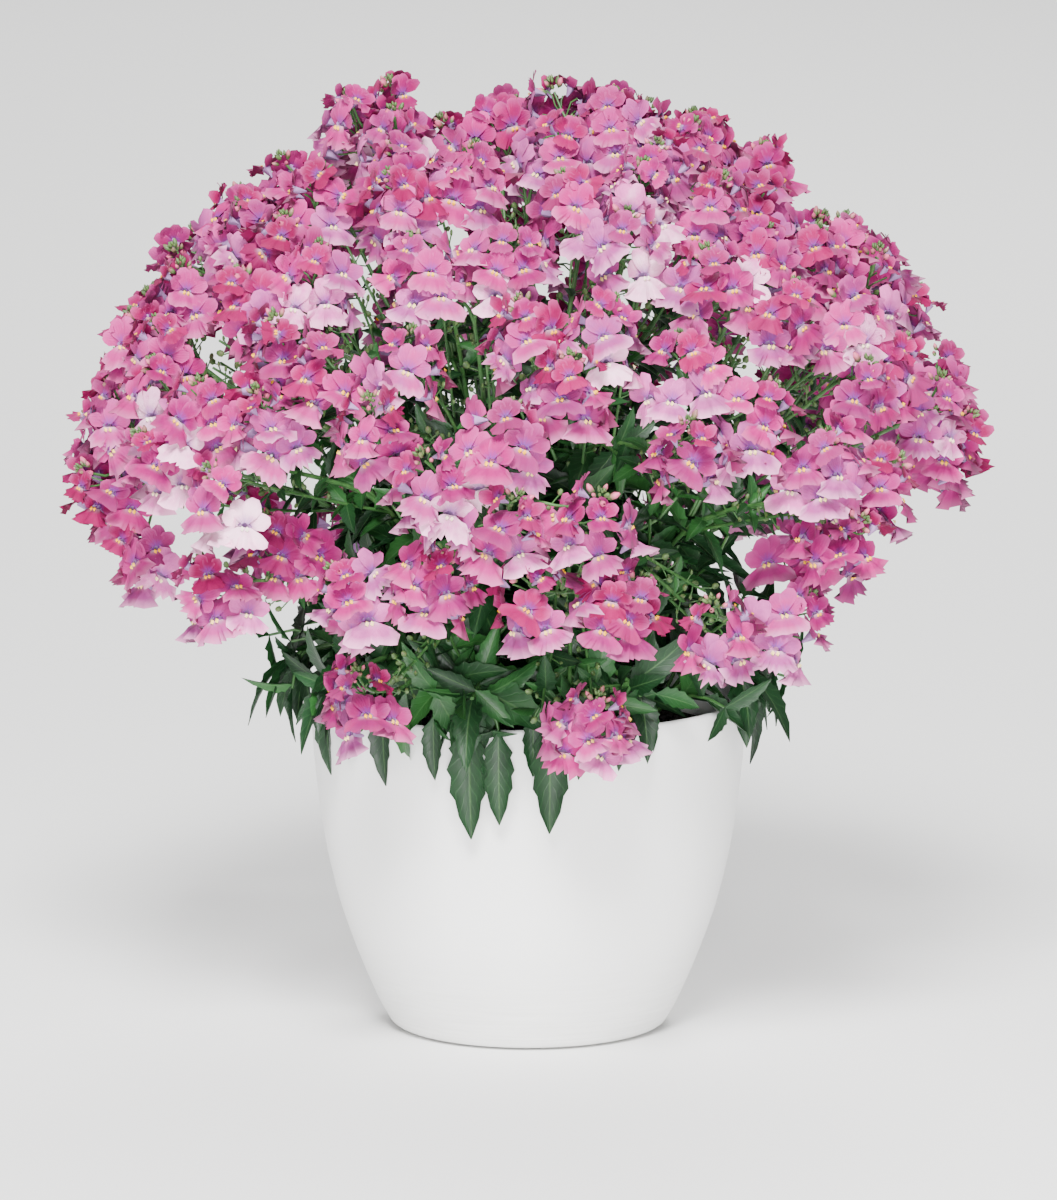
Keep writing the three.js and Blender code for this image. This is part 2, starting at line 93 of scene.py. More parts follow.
view_height = IMAGE_HEIGHT / PIXELS_PER_MM * MM
camera_data = bpy.data.cameras.new("camera")
camera_data.sensor_width = SENSOR
camera_data.lens = SENSOR * CAMERA_DISTANCE / view_height
camera = bpy.data.objects.new("camera", camera_data)
bpy.context.scene.collection.objects.link(camera)
away = Vector((0, -math.cos(CAMERA_TILT), math.sin(CAMERA_TILT)))
camera.location = Vector((0, 0, AIM_HEIGHT)) + away * CAMERA_DISTANCE
camera.rotation_euler = (-away).to_track_quat("-Z", "Y").to_euler()
bpy.context.scene.camera = camera
print("lens", round(camera_data.lens, 1), "mm")

# %% [markdown]
# Colours are written as the hex values that a picture editor shows. Blender works in linear light,
# so one function turns them. Another adds a node to any tree, sets its properties, and gives each
# of its inputs a value or a link, because every material and every Geometry Nodes tree needs that.

# %% Colour and node helpers
def linear(code):
    """Linear RGBA from an sRGB hex colour."""
    parts = [int(code[i:i + 2], 16) / 255 for i in (1, 3, 5)]
    return [c / 12.92 if c <= 0.04045 else ((c + 0.055) / 1.055) ** 2.4 for c in parts] + [1.0]


def add(tree, kind, inputs=None, stops=None, **settings):
    """Adds a node. settings are its properties, inputs gives sockets a value or another node's
    output, and stops are the places and colours of a colour ramp."""
    made = tree.nodes.new(kind)
    for name, value in settings.items():
        setattr(made, name, value)
    known = {socket.identifier: socket for socket in made.inputs}
    for key, value in (inputs or {}).items():
        socket = known[key] if key in known else made.inputs[key]
        if isinstance(value, bpy.types.NodeSocket):
            tree.links.new(value, socket)
        else:
            socket.default_value = value
    for k, (place, code) in enumerate(stops or []):
        ramp = made.color_ramp.elements
        stop = ramp[k] if k < 2 else ramp.new(place)
        stop.position = place
        stop.color = linear(code)
    return made


def finish_named(name, **constants):
    """A material with one Principled shader, whose constant inputs are set here."""
    made = bpy.data.materials.new(name)
    made.use_nodes = True
    shader = made.node_tree.nodes["Principled BSDF"]
    for socket, value in constants.items():
        shader.inputs[socket.replace("_", " ")].default_value = value
    return made, made.node_tree, shader


def painted(tree, colour, layers):
    """A colour with layers laid over it. A layer is its shares, which are multiplied, and its colour."""
    for share, *more, over in layers:
        for factor in more:
            share = add(tree, "ShaderNodeMath", {0: share, 1: factor}, operation="MULTIPLY").outputs[0]
        over = linear(over) if isinstance(over, str) else over
        colour = add(tree, "ShaderNodeMix", {0: share, 6: colour, 7: over}, data_type="RGBA").outputs[2]
    return colour


def finish_off(tree, shader, colour, height, strength, distance):
    """Gives a shader its colour, and a bump from a height with its strength and its depth in metres."""
    bump = add(tree, "ShaderNodeBump", {"Height": height, "Strength": strength, "Distance": distance})
    tree.links.new(colour, shader.inputs["Base Color"])
    tree.links.new(bump.outputs[0], shader.inputs["Normal"])


# %% Floor and lights
FLOOR_SIZE = 40
floor_mesh = bpy.data.meshes.new("floor")
half = FLOOR_SIZE / 2
floor_mesh.from_pydata([(-half, -half, 0), (half, -half, 0), (half, half, 0), (-half, half, 0)],
                       [], [(0, 1, 2, 3)])
floor = bpy.data.objects.new("floor", floor_mesh)
bpy.context.scene.collection.objects.link(floor)
floor_paint, tree, shader = finish_named("matt_white_floor_paint", Roughness=0.85)
grain = add(tree, "ShaderNodeTexNoise", {"Scale": 3.0, "Detail": 2.0})
tone = add(tree, "ShaderNodeValToRGB", {0: grain.outputs[0]}, stops=[(0.3, "#f0f0ef"), (0.7, "#f4f4f3")])
tree.links.new(tone.outputs[0], shader.inputs["Base Color"])
floor.data.materials.append(floor_paint)
floor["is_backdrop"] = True

PLANT = (0, 0, 0.2)
WORLD_STRENGTH = 0.3
# Lights: name, place, what it is aimed at, width in metres and power in watts. The key stands high in
# front, a low one fills the shade under the flowers, and the last three light the back and the floor.
LIGHTS = [
    ("key_light", (-0.1, -1.7, 1.8), PLANT, 0.7, 165),
    ("front_light", (0.0, -2.7, 0.35), PLANT, 0.5, 86),
    ("rear_light", (0.8, 3.2, 3.2), PLANT, 1.6, 150),
    ("back_light", (0.0, 1.5, 2.0), (0, 1.2, 0), 2.4, 20),
    ("far_floor_light", (0.0, 5.8, 2.8), (0, 6.3, 0), 3.5, 160),
]
for name, place, target, size, power in LIGHTS:
    lamp_data = bpy.data.lights.new(name, "AREA")
    lamp_data.size = size
    lamp_data.energy = power
    lamp = bpy.data.objects.new(name, lamp_data)
    lamp.location = place
    lamp.rotation_euler = (Vector(target) - Vector(place)).to_track_quat("-Z", "Y").to_euler()
    bpy.context.scene.collection.objects.link(lamp)

world = bpy.data.worlds.new("studio")
world.use_nodes = True
world.node_tree.nodes["Background"].inputs["Color"].default_value = linear("#ffffff")
world.node_tree.nodes["Background"].inputs["Strength"].default_value = WORLD_STRENGTH
bpy.context.scene.world = world
print("lights:", len(LIGHTS))

# %% [markdown]
# ## The pot
# The real pot is one injection-moulded polypropylene wall with a satin surface. The solid pot has 28
# flat sides. A smooth one is turned from the same outline, with a curve drawn through its points,
# because a lathe shape needs no more than its outline and an axis.

# %% Pot outline
POT_OUTLINE = [(49, 0), (55.5, 1.5), (59, 6), (64, 16), (72, 35.5), (79, 57), (84.5, 83), (88, 112),
               (89.3, 134)]
POT_HEIGHT = 138
WALL = 3
FLOOR_THICKNESS = 4
INSIDE_FLOOR = 52
INSIDE_FOOT = 15.9
RIM_RADIUS = POT_OUTLINE[-1][0]
RIM_ROUND = 1.5
POT_SIDES = 144


def smooth_outline(points, pieces):
    """More points on a Catmull-Rom curve through the given ones, evenly spread between each pair."""
    ends = [points[0], *points, points[-1]]
    out = [points[0]]
    for k in range(1, len(ends) - 2):
        before, start, stop, after = (Vector(p) for p in ends[k - 1:k + 3])
        for i in range(1, pieces + 1):
            t = i / pieces
            pull = (stop - before) * 0.5 * (t - 2 * t * t + t ** 3)
            pull += (after - start) * 0.5 * (t ** 3 - t * t)
            out.append(tuple(start * (1 - 3 * t * t + 2 * t ** 3) + stop * (3 * t * t - 2 * t ** 3) + pull))
    return out


def rim_point(degrees):
    """A point of the round rim, from its outer side over its top to its inner side."""
    turn = math.radians(degrees)
    radius = RIM_RADIUS - RIM_ROUND + RIM_ROUND * math.cos(turn)
    return radius, POT_HEIGHT - RIM_ROUND + RIM_ROUND * math.sin(turn)


outside = smooth_outline(POT_OUTLINE, pieces=5)
rim = [rim_point(degrees) for degrees in range(0, 181, 30)]
inside = [(radius - WALL, height) for radius, height in reversed(outside) if height > INSIDE_FOOT]
pot_profile = [(0, 0), *outside, *rim, *inside, (INSIDE_FLOOR, FLOOR_THICKNESS), (0, FLOOR_THICKNESS)]
print("pot outline:", len(pot_profile), "points")


# %% Turn the pot
def turned(name, profile, sides):
    """A closed mesh from a profile of radius and height, in millimetres, turned about the Z axis."""
    shape = bmesh.new()
    line = [shape.verts.new((radius * MM, 0, height * MM)) for radius, height in profile]
    edges = [shape.edges.new(pair) for pair in zip(line, line[1:])]
    bmesh.ops.spin(shape, geom=line + edges, cent=(0, 0, 0), axis=(0, 0, 1), angle=math.tau,
                   steps=sides, use_merge=True)
    bmesh.ops.remove_doubles(shape, verts=shape.verts, dist=1e-6)
    bmesh.ops.recalc_face_normals(shape, faces=shape.faces)
    mesh = bpy.data.meshes.new(name)
    shape.to_mesh(mesh)
    shape.free()
    mesh.shade_smooth()
    made = bpy.data.objects.new(name, mesh)
    bpy.context.scene.collection.objects.link(made)
    return made


pot = turned("moulded_pot", pot_profile, POT_SIDES)
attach(pot, "root")
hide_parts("pot")
print("pot:", len(pot.data.polygons), "faces")

# %% [markdown]
# Satin polypropylene is a soft white with a broad, weak highlight. What the eye reads as plastic is
# the fine orange-peel of the mould's etched wall and the scuffs that handling leaves near the foot,
# so both are drawn, the first about 0.8 mm across and the second as thin marks that turn round it.

# %% Pot finish
# Scales are counts of a pattern in a metre: 14 gives clouds of 70 mm, (40, 40, 900) gives scratches
# 25 mm long and 1 mm high, and 1250 gives the peel. Wear shows up to WORN_HEIGHT metres.
WORN_HEIGHT = 0.045
pot_finish, tree, shader = finish_named("moulded_polypropylene", IOR=1.49, Roughness=0.4)
where = add(tree, "ShaderNodeTexCoord").outputs["Object"]
cloud = add(tree, "ShaderNodeTexNoise", {"Vector": where, "Scale": 14.0, "Detail": 3.0}).outputs[0]
height = add(tree, "ShaderNodeSeparateXYZ", {0: where}).outputs["Z"]
scratches = add(tree, "ShaderNodeMapping", {"Vector": where, "Scale": (40, 40, 900)}).outputs[0]
marks = add(tree, "ShaderNodeTexNoise", {"Vector": scratches, "Scale": 1.0, "Detail": 4.0}).outputs[0]
low_down = add(tree, "ShaderNodeMapRange", {"Value": height, "From Min": WORN_HEIGHT, "From Max": 0.0})
white = add(tree, "ShaderNodeValToRGB", {0: cloud}, stops=[(0.25, "#efefee"), (0.75, "#f4f4f3")])
scuffed = painted(tree, white.outputs[0], [(low_down.outputs[0], marks, "#cfcecb")])
gloss = add(tree, "ShaderNodeMapRange", {"Value": cloud, "To Min": 0.34, "To Max": 0.46})
tree.links.new(gloss.outputs[0], shader.inputs["Roughness"])
peel = add(tree, "ShaderNodeTexNoise", {"Vector": where, "Scale": 1250.0, "Detail": 1.0}).outputs[0]
finish_off(tree, shader, scuffed, peel, strength=0.12, distance=0.0001)
pot.data.materials.append(pot_finish)

# %% [markdown]
# ## Where the flower heads are
# The heads lie on a dome. Their places come from the rule that the solids were made with: even bands
# of the dome's surface, a golden-angle turn from one head to the next, and seeded random numbers, so
# the dressed heads land where the solid ones are. Sizes here are in millimetres.

# %% The dome
DOME_RADIUS = 157
DOME_MIDDLE = 236
DOME_RISE = 125
DOME_DROP = 66
DOME_POWER = 1.75
DOME_HEADS = 38
DOME_LOWEST = 234
CROWN_LIFT = 7
CROWN_SPACING = 55
HEAD_SEED = 11621
GOLDEN_TURN = math.pi * (3 - math.sqrt(5))
UP = Vector((0, 0, 1))


def seeded(seed):
    """Random numbers from a fixed seed, by the rule that the solids use."""
    state = [seed]

    def draw(low, high):
        state[0] = state[0] * 48271 % 2147483647
        return low + (high - low) * state[0] / 2147483647
    return draw


def polar(bearing, radius, height):
    """A point round the pot's axis. The bearing is counted from the front, to the right."""
    return Vector((radius * math.sin(bearing), -radius * math.cos(bearing), height))


def dome_point(turn, bearing):
    """A point of the dome and its outward direction, from the turn down its outline."""
    across = abs(math.sin(turn)) ** (2 / DOME_POWER)
    up = math.copysign(abs(math.cos(turn)) ** (2 / DOME_POWER), math.cos(turn))
    rise = DOME_RISE if up >= 0 else DOME_DROP
    slope = max(across, 0.02) ** (DOME_POWER - 1) / DOME_RADIUS
    lift = math.copysign(abs(up) ** (DOME_POWER - 1), up) / rise
    point = polar(bearing, DOME_RADIUS * across, DOME_MIDDLE + rise * up)
    return point, polar(bearing, slope, lift).normalized()


def even_turns(count, steps=600, turn_step=0.002):
    """Turns that split the dome's surface into bands of equal area."""
    lowest = math.pi / 2
    while dome_point(lowest, 0)[0].z > DOME_LOWEST:
        lowest += turn_step
    line = [dome_point(lowest * i / steps, 0)[0] for i in range(steps + 1)]
    area = [0]
    for before, after in zip(line, line[1:]):
        area.append(area[-1] + (after - before).length * abs(before.y + after.y) / 2)
    wanted = [area[-1] * (k + 0.5) / count for k in range(count)]
    return [lowest * next(i for i, value in enumerate(area) if value >= goal) / steps for goal in wanted]


# %% Place the heads
# Low heads, listed one by one: bearing in degrees, radius and height.
LOW_HEADS = [(-28, 119, 157), (9, 122, 150), (-19, 142, 206), (7, 147, 203), (36, 134, 187), (-52, 136, 198),
             (-150, 128, 190), (162, 128, 182)]
SEAT_DEPTH = 7
SEAT_GAP = 0.3
BEARING_JITTER = 0.05
DEPTHS = (-7, 5)
HEAD_SIZES = (0.94, 1.08)
LOW_HEAD_SIZES = (0.86, 0.94)
HEAD_LIFT = Vector((0, 0, 0.25))
LOW_HEAD_RISE = 0.15
Head = namedtuple("Head", "bearing point outward axis size spin seat")


def seated(bearing, point, outward, axis, size, draw):
    """A head with its own spin, and the seat under it that its stem ends at."""
    seat = point - axis * (SEAT_DEPTH * size + SEAT_GAP)
    return Head(bearing, point, outward, axis, size, draw(0, math.tau), seat)


def place_heads():
    """Every head: its middle, the way that it faces, its size and its seat."""
    draw = seeded(HEAD_SEED)
    found = []
    for k, turn in enumerate(even_turns(DOME_HEADS)):
        bearing = k * GOLDEN_TURN + draw(-BEARING_JITTER, BEARING_JITTER)
        point, outward = dome_point(turn, bearing)
        point = point + outward * draw(*DEPTHS)
        point.z -= CROWN_LIFT * math.cos(math.pi * point.x / CROWN_SPACING) * max(0, outward.z)
        axis = (outward + HEAD_LIFT).normalized()
        found.append(seated(bearing, point, outward, axis, draw(*HEAD_SIZES), draw))
    for degrees, radius, height in LOW_HEADS:
        bearing = math.radians(degrees)
        axis = polar(bearing, 1, LOW_HEAD_RISE).normalized()
        point = polar(bearing, radius, height)
        found.append(seated(bearing, point, axis, axis, draw(*LOW_HEAD_SIZES), draw))
    return found


heads = place_heads()
node_middles = [sum(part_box(f"flower_head_{k + 1:02d}"), Vector()) / 2 / MM for k in range(len(heads))]
furthest = max((middle - head.point).length for middle, head in zip(node_middles, heads))
print("heads:", len(heads), "- furthest from its solid's middle:", round(furthest, 1), "mm")

# %% [markdown]
# ## A plan for each piece
# A piece of the plant holds three kinds of thing: stems, which follow lines, and two kinds of copies,
# blades (flowers or leaves) and buds. A plan collects them as points, and keeps for each point how
# thick the stem is there, or how the copy is turned, its size, its form and its age.

# %% Plans
STEM = 0
BLADE = 1
BUD = 2
MARKS = {"role": "INT", "form": "INT", "thick": "FLOAT", "size": "FLOAT", "age": "FLOAT",
         "turn": "FLOAT_VECTOR"}


class Plan:
    """Points and lines of one piece, in millimetres, with their marks."""

    def __init__(self):
        self.points = []
        self.edges = []
        self.marks = {name: [] for name in MARKS}

    def point(self, place, role, form=0, thick=0.0, size=1.0, age=0.0, turn=(0, 0, 0)):
        self.points.append(place * MM)
        for name, value in zip(MARKS, (role, form, thick, size, age, turn)):
            self.marks[name].append(value)

    def line(self, path, first, last):
        """A stem along a path, with its radius in millimetres at each end."""
        for k, place in enumerate(path):
            share = k / (len(path) - 1)
            self.point(place, STEM, thick=(first + (last - first) * share) * MM)
            if k:
                self.edges.append((len(self.points) - 2, len(self.points) - 1))

    def copy(self, place, role, form, size, age, along, facing):
        """A copy with its own +Y turned along `along` and its +Z as near to `facing` as can be."""
        along = along.normalized()
        side = along.cross(facing).normalized()
        turn = Matrix((side, along, side.cross(along))).transposed().to_euler()
        self.point(place, role, form=form, size=size, age=age, turn=tuple(turn))

    def mesh(self, name):
        made = bpy.data.meshes.new(name)
        made.from_pydata([tuple(p) for p in self.points], self.edges, [])
        for mark, kind in MARKS.items():
            field = made.attributes.new(mark, kind, "POINT")
            values = self.marks[mark]
            if kind == "FLOAT_VECTOR":
                field.data.foreach_set("vector", [x for value in values for x in value])
            else:
                field.data.foreach_set("value", values)
        return made


# %% [markdown]
# One Geometry Nodes tree grows every piece from its plan. It draws the lines as tubes, puts a form
# from a collection on each other point, makes real mesh of the copies and gives each kind its
# material. A Python loop could do it too, but a tree keeps the rule in one place, with its sizes
# as named inputs, and its copies cost nothing until they are realised.

# %% The growing tree
def new_tree(name, sockets):
    """An empty Geometry Nodes tree with one geometry in, one out, and the named inputs."""
    tree = bpy.data.node_groups.new(name, "GeometryNodeTree")
    tree.interface.new_socket("Geometry", in_out="INPUT", socket_type="NodeSocketGeometry")
    tree.interface.new_socket("Geometry", in_out="OUTPUT", socket_type="NodeSocketGeometry")
    for label, kind in sockets.items():
        tree.interface.new_socket(label, in_out="INPUT", socket_type="NodeSocket" + kind)
    return tree, add(tree, "NodeGroupInput").outputs


def read_marks(tree):
    """The outputs that read a plan's marks."""
    return {name: add(tree, "GeometryNodeInputNamedAttribute", {"Name": name}, data_type=kind).outputs[0]
            for name, kind in MARKS.items()}


def part_of(tree, marks, geometry, role):
    """The part of a plan that has one role."""
    chosen = add(tree, "FunctionNodeCompare", {"A_INT": marks["role"], "B_INT": role},
                 data_type="INT", operation="EQUAL")
    return add(tree, "GeometryNodeSeparateGeometry", {0: geometry, 1: chosen.outputs[0]}).outputs[0]


def copies(tree, marks, points, collection, scale):
    """Real mesh copies of a collection's forms on points, turned and sized by their marks."""
    forms = add(tree, "GeometryNodeCollectionInfo",
                {"Collection": collection, "Separate Children": True, "Reset Children": True})
    turn = add(tree, "FunctionNodeEulerToRotation", {0: marks["turn"]})
    size = add(tree, "ShaderNodeMath", {0: marks["size"], 1: scale}, operation="MULTIPLY")
    placed = add(tree, "GeometryNodeInstanceOnPoints", {
        "Points": points, "Instance": forms.outputs[0], "Pick Instance": True,
        "Instance Index": marks["form"], "Rotation": turn.outputs[0], "Scale": size.outputs[0]})
    return add(tree, "GeometryNodeRealizeInstances", {0: placed.outputs[0]}).outputs[0]


def finished(tree, geometry, material):
    """Smooth shading and a material for one part of the tree's result."""
    smooth = add(tree, "GeometryNodeSetShadeSmooth", {0: geometry}).outputs[0]
    return add(tree, "GeometryNodeSetMaterial", {"Geometry": smooth, "Material": material}).outputs[0]


growing, given = new_tree("grow_a_piece", {
    "Blade forms": "Collection", "Bud forms": "Collection", "Blade scale": "Float", "Bud scale": "Float",
    "Stem sides": "Int", "Stem thickness": "Float", "Blade material": "Material",
    "Bud material": "Material", "Stem material": "Material"})
marks = read_marks(growing)
section = add(growing, "GeometryNodeCurvePrimitiveCircle", {"Resolution": given["Stem sides"], "Radius": 1.0})
line = add(growing, "GeometryNodeMeshToCurve", {0: part_of(growing, marks, given["Geometry"], STEM)})
thickness = add(growing, "ShaderNodeMath", {0: marks["thick"], 1: given["Stem thickness"]},
                operation="MULTIPLY")
tube = add(growing, "GeometryNodeCurveToMesh", {
    "Curve": line.outputs[0], "Profile Curve": section.outputs[0], "Fill Caps": True,
    "Scale": thickness.outputs[0]})
made_parts = {"Stem": tube.outputs[0]}
for kind, role in (("Blade", BLADE), ("Bud", BUD)):
    chosen = part_of(growing, marks, given["Geometry"], role)
    made_parts[kind] = copies(growing, marks, chosen, given[kind + " forms"], given[kind + " scale"])
whole = add(growing, "GeometryNodeJoinGeometry")
for kind, geometry in made_parts.items():
    growing.links.new(finished(growing, geometry, given[kind + " material"]), whole.inputs[0])
add(growing, "NodeGroupOutput", {0: whole.outputs[0]})
print("tree:", len(growing.nodes), "nodes")


# %% Growing a piece
def grown(name, plan_mesh, tree, values):
    """The plain mesh object that a tree makes of a plan, with its named inputs set to values."""
    sketch = bpy.data.objects.new(name + "_plan", plan_mesh)
    bpy.context.scene.collection.objects.link(sketch)
    modifier = sketch.modifiers.new("grow", "NODES")
    modifier.node_group = tree
    for item in tree.interface.items_tree:
        if item.in_out == "INPUT" and item.name in values:
            modifier[item.identifier] = values[item.name]
    scene_graph = bpy.context.evaluated_depsgraph_get()
    mesh = bpy.data.meshes.new_from_object(sketch.evaluated_get(scene_graph), preserve_all_data_layers=True,
                                           depsgraph=scene_graph)
    mesh.name = name
    bpy.data.objects.remove(sketch)
    made = bpy.data.objects.new(name, mesh)
    bpy.context.scene.collection.objects.link(made)
    return made


# %% [markdown]
# ## Forms of flowers, leaves and buds
# A nemesia flower has four upper lobes, two upright and two at the sides, over a broad lower lip
# with a toothed, ruffled edge. Two small swellings at its mouth, the palate, are yellow while the
# flower is young. A form is drawn once, in a few dozen faces, and copied hundreds of times, so its
# edges are worked out from a few sizes. Each point also keeps its spot on the petal: how far across
# it is, how far along, and which part it belongs to. The petal's colours are drawn from that.

# %% Grids of points
LOBE = 0
LIP = 1
PALATE = 2
TUBE = 3


class Form:
    """Grids of points that become one small mesh, in millimetres, with a spot for each point."""

    def __init__(self):
        self.points = []
        self.spots = []
        self.faces = []

    def grid(self, rows, closed=False):
        """Rows of (point, spot) joined by faces. A closed grid joins each row's end to its start."""
        first = len(self.points)
        width = len(rows[0])
        for place, spot in (entry for row in rows for entry in row):
            self.points.append(place)
            self.spots.append(spot)
        for r in range(len(rows) - 1):
            for c in range(width if closed else width - 1):
                a = first + r * width + c
                b = first + r * width + (c + 1) % width
                self.faces.append((a, b, b + width, a + width))

    def save(self, name, collection):
        mesh = bpy.data.meshes.new(name)
        mesh.from_pydata([tuple(Vector(p) * MM) for p in self.points], [], self.faces)
        field = mesh.attributes.new("spot", "FLOAT_VECTOR", "POINT")
        field.data.foreach_set("vector", [x for spot in self.spots for x in spot])
        shape = bmesh.new()
        shape.from_mesh(mesh)
        bmesh.ops.remove_doubles(shape, verts=shape.verts, dist=1e-7)
        shape.to_mesh(mesh)
        shape.free()
        collection.objects.link(bpy.data.objects.new(name, mesh))
        return len(mesh.polygons)


# %% Upper lobes
# An upper lobe: shares of its length and width from its foot to its tip, and places across it with
# how much shorter it is there. Then where it starts, how its tip narrows and how uneven it is.
LOBE_ROWS = [(0.0, 0.26), (0.36, 0.78), (0.7, 1.0), (1.0, 0.7)]
LOBE_COLUMNS = [(-1.0, 1.0), (-0.5, 0.2), (0.5, 0.2), (1.0, 1.0)]
LOBE_START = 0.8
LOBE_TAPER = 0.17
LOBE_UNEVEN = 0.6


def lobe_rows(bearing, length, width, back, lean, cup, draw):
    """An upper lobe: a rounded petal that stands out from the mouth at a bearing."""
    along = Vector((math.cos(bearing), math.sin(bearing), 0))
    across = Vector((math.sin(bearing), -math.cos(bearing), 0))
    rows = []
    for t, share in LOBE_ROWS:
        row = []
        for s, drop in LOBE_COLUMNS:
            reach = LOBE_START + length * t * (1 - drop * LOBE_TAPER * t)
            place = along * reach + across * (s * share * width / 2)
            place.z = back + lean * t * t + cup * s * s * t + draw(-LOBE_UNEVEN, LOBE_UNEVEN) * t
            row.append((place, (s, t, LOBE)))
        rows.append(row)
    return rows

print("points in an upper lobe:", len(LOBE_ROWS) * len(LOBE_COLUMNS))

# %% The lip
# The lip, with s from -1 to 1 across it. It reaches furthest at two corners and has a notch between
# them and short sides. It swells near the mouth, and its edge has teeth and waves.
LIP_ROWS = [0.0, 0.34, 1.0]
LIP_COLUMNS = 16
LIP_NECK = 2.4
LIP_SPREAD = math.radians(73)
MOUTH_DROP = 0.9
CORNER, CORNER_WIDTH, CORNER_REACH = 0.74, 0.3, 0.68
NOTCH_WIDTH, NOTCH_DEPTH = 0.16, 0.9
SIDE, SIDE_WIDTH, SIDE_LOSS = 0.8, 0.2, 0.22
SWELLING, SWELLING_LENGTH, SIDE_SINK = 2.0, 0.35, 2.0
TOOTH_UNEVEN = (-0.5, 0.5)
TOOTH_DEPTHS = (0.2, 0.9)
TOOTH_WAVE = 0.8
WAVE_TURN = 8


def lip_reach(s, width, length):
    """How far the lip reaches from the mouth: least at its sides, most at its two lower corners."""
    corner = math.exp(-((abs(s) - CORNER) / CORNER_WIDTH) ** 2)
    notch = math.exp(-(s / NOTCH_WIDTH) ** 2)
    loss = SIDE_LOSS * length * max(0, abs(s) - SIDE) / SIDE_WIDTH
    return length + (width * CORNER_REACH - length) * corner - loss - NOTCH_DEPTH * notch


def lip_rows(width, length, flare, ruffle, phase, draw):
    """The lower lip: a skirt that spreads from the mouth, with round corners and a toothed edge."""
    rows = []
    for t in LIP_ROWS:
        row = []
        for k in range(LIP_COLUMNS + 1):
            s = 1 - 2 * k / LIP_COLUMNS
            reach = lip_reach(s, width, length)
            if t == 1:
                reach += draw(*TOOTH_UNEVEN) + draw(*TOOTH_DEPTHS) * (k % 2)
            turn = s * LIP_SPREAD
            start = Vector((s * LIP_NECK, 0, 0))
            place = start.lerp(Vector((math.sin(turn), -math.cos(turn), 0)) * reach, t ** 0.85)
            swell = SWELLING * math.sin(min(1, t / SWELLING_LENGTH) * math.pi / 2) * (1 - 0.5 * s * s)
            tooth = TOOTH_WAVE if k % 2 else -TOOTH_WAVE
            wave = ruffle * (math.sin(s * WAVE_TURN + phase) + tooth) * t * t
            rise = 1.0 + swell + flare * t - SIDE_SINK * s * s * t * t + wave
            row.append((place + Vector((0, -MOUTH_DROP, rise)), (s, t, LIP)))
        rows.append(row)
    return rows

print("points in a lip:", len(LIP_ROWS) * (LIP_COLUMNS + 1))

# %% Palate and tube
# The palate's two swellings and the tube are small: SMALL_RING points go round them.
SMALL_RING = 4
PALATE_ASIDE, PALATE_DROP, PALATE_FRONT = 0.95, -1.5, 2.7
PALATE_WIDTH, PALATE_HEIGHT, PALATE_LIFT = 0.85, 1.1, 0.9
TUBE_RINGS = [(0.5, -5.0, -2.0), (2.8, 1.0, -0.3)]


def palate_rows(side):
    """One of the two swellings at the mouth, as a small cone whose shading is smooth."""
    middle = Vector((side * PALATE_ASIDE, PALATE_DROP, PALATE_FRONT))
    rows = []
    for ring, lift in ((1.0, 0.0), (0.02, PALATE_LIFT)):
        row = []
        for k in range(SMALL_RING):
            angle = math.tau * k / SMALL_RING + 0.3
            aside = PALATE_WIDTH * ring * math.cos(angle)
            place = middle + Vector((aside, PALATE_HEIGHT * ring * math.sin(angle), lift))
            row.append((place, (side, 1 - ring, PALATE)))
        rows.append(row)
    return rows


def tube_rows():
    """The short tube behind the mouth, down to the spur."""
    angles = [math.tau * k / SMALL_RING for k in range(SMALL_RING)]
    return [[(Vector((radius * math.cos(angle), drop + radius * math.sin(angle), depth)), (0, 0, TUBE))
             for angle in angles] for radius, depth, drop in TUBE_RINGS]


# %% Flower forms
# Upper lobes: bearing, length, width, how far forward they start and how far they lean forward.
UPPER_LOBES = [(158, 9.2, 7.4, -0.2, 2.2), (22, 9.2, 7.4, 0.0, 2.2), (110, 10.0, 7.4, 1.0, -1.4),
               (70, 10.0, 7.4, 1.4, -1.4)]


def flower_form(name, collection, draw, lip, flare, lean, spread, ruffle):
    """One form of the flower, seen from +Z with its upper lobes towards +Y."""
    form = Form()
    for degrees, length, width, back, forward in UPPER_LOBES:
        bearing = math.radians(90 + (degrees - 90) * spread + draw(-6, 6))
        form.grid(lobe_rows(bearing, length * draw(0.9, 1.05), width * draw(0.92, 1.06), back,
                            lean + forward + draw(-1.1, 1.1), draw(-1.4, 0.9), draw))
    lip_width, lip_length = (size * draw(0.96, 1.04) for size in lip)
    form.grid(lip_rows(lip_width, lip_length, flare, ruffle, draw(0, 6), draw))
    for side in (-1, 1):
        form.grid(palate_rows(side), closed=True)
    form.grid(tube_rows(), closed=True)
    return form.save(name, collection)


# From a young cupped flower to an old wide one: the lip's width and length, how far it flares forward,
# how far the lobes lean, how far they spread and how deep the lip's waves are.
FLOWER_FORMS = [
    dict(lip=(12, 6.8), flare=2.6, lean=1.8, spread=0.76, ruffle=0.8),
    dict(lip=(15.5, 7.8), flare=2.2, lean=0.2, spread=0.94, ruffle=1.3),
    dict(lip=(17, 8.2), flare=1.6, lean=-1.2, spread=1.0, ruffle=1.7),
    dict(lip=(16, 8.0), flare=0.4, lean=-2.0, spread=1.04, ruffle=2.1),
    dict(lip=(18, 8.8), flare=2.6, lean=-0.6, spread=0.96, ruffle=1.8),
    dict(lip=(17, 9.0), flare=-0.6, lean=-2.8, spread=1.08, ruffle=2.5),
]
FORM_SEED = 5
flower_forms = bpy.data.collections.new("flower_forms")
form_draw = random.Random(FORM_SEED).uniform
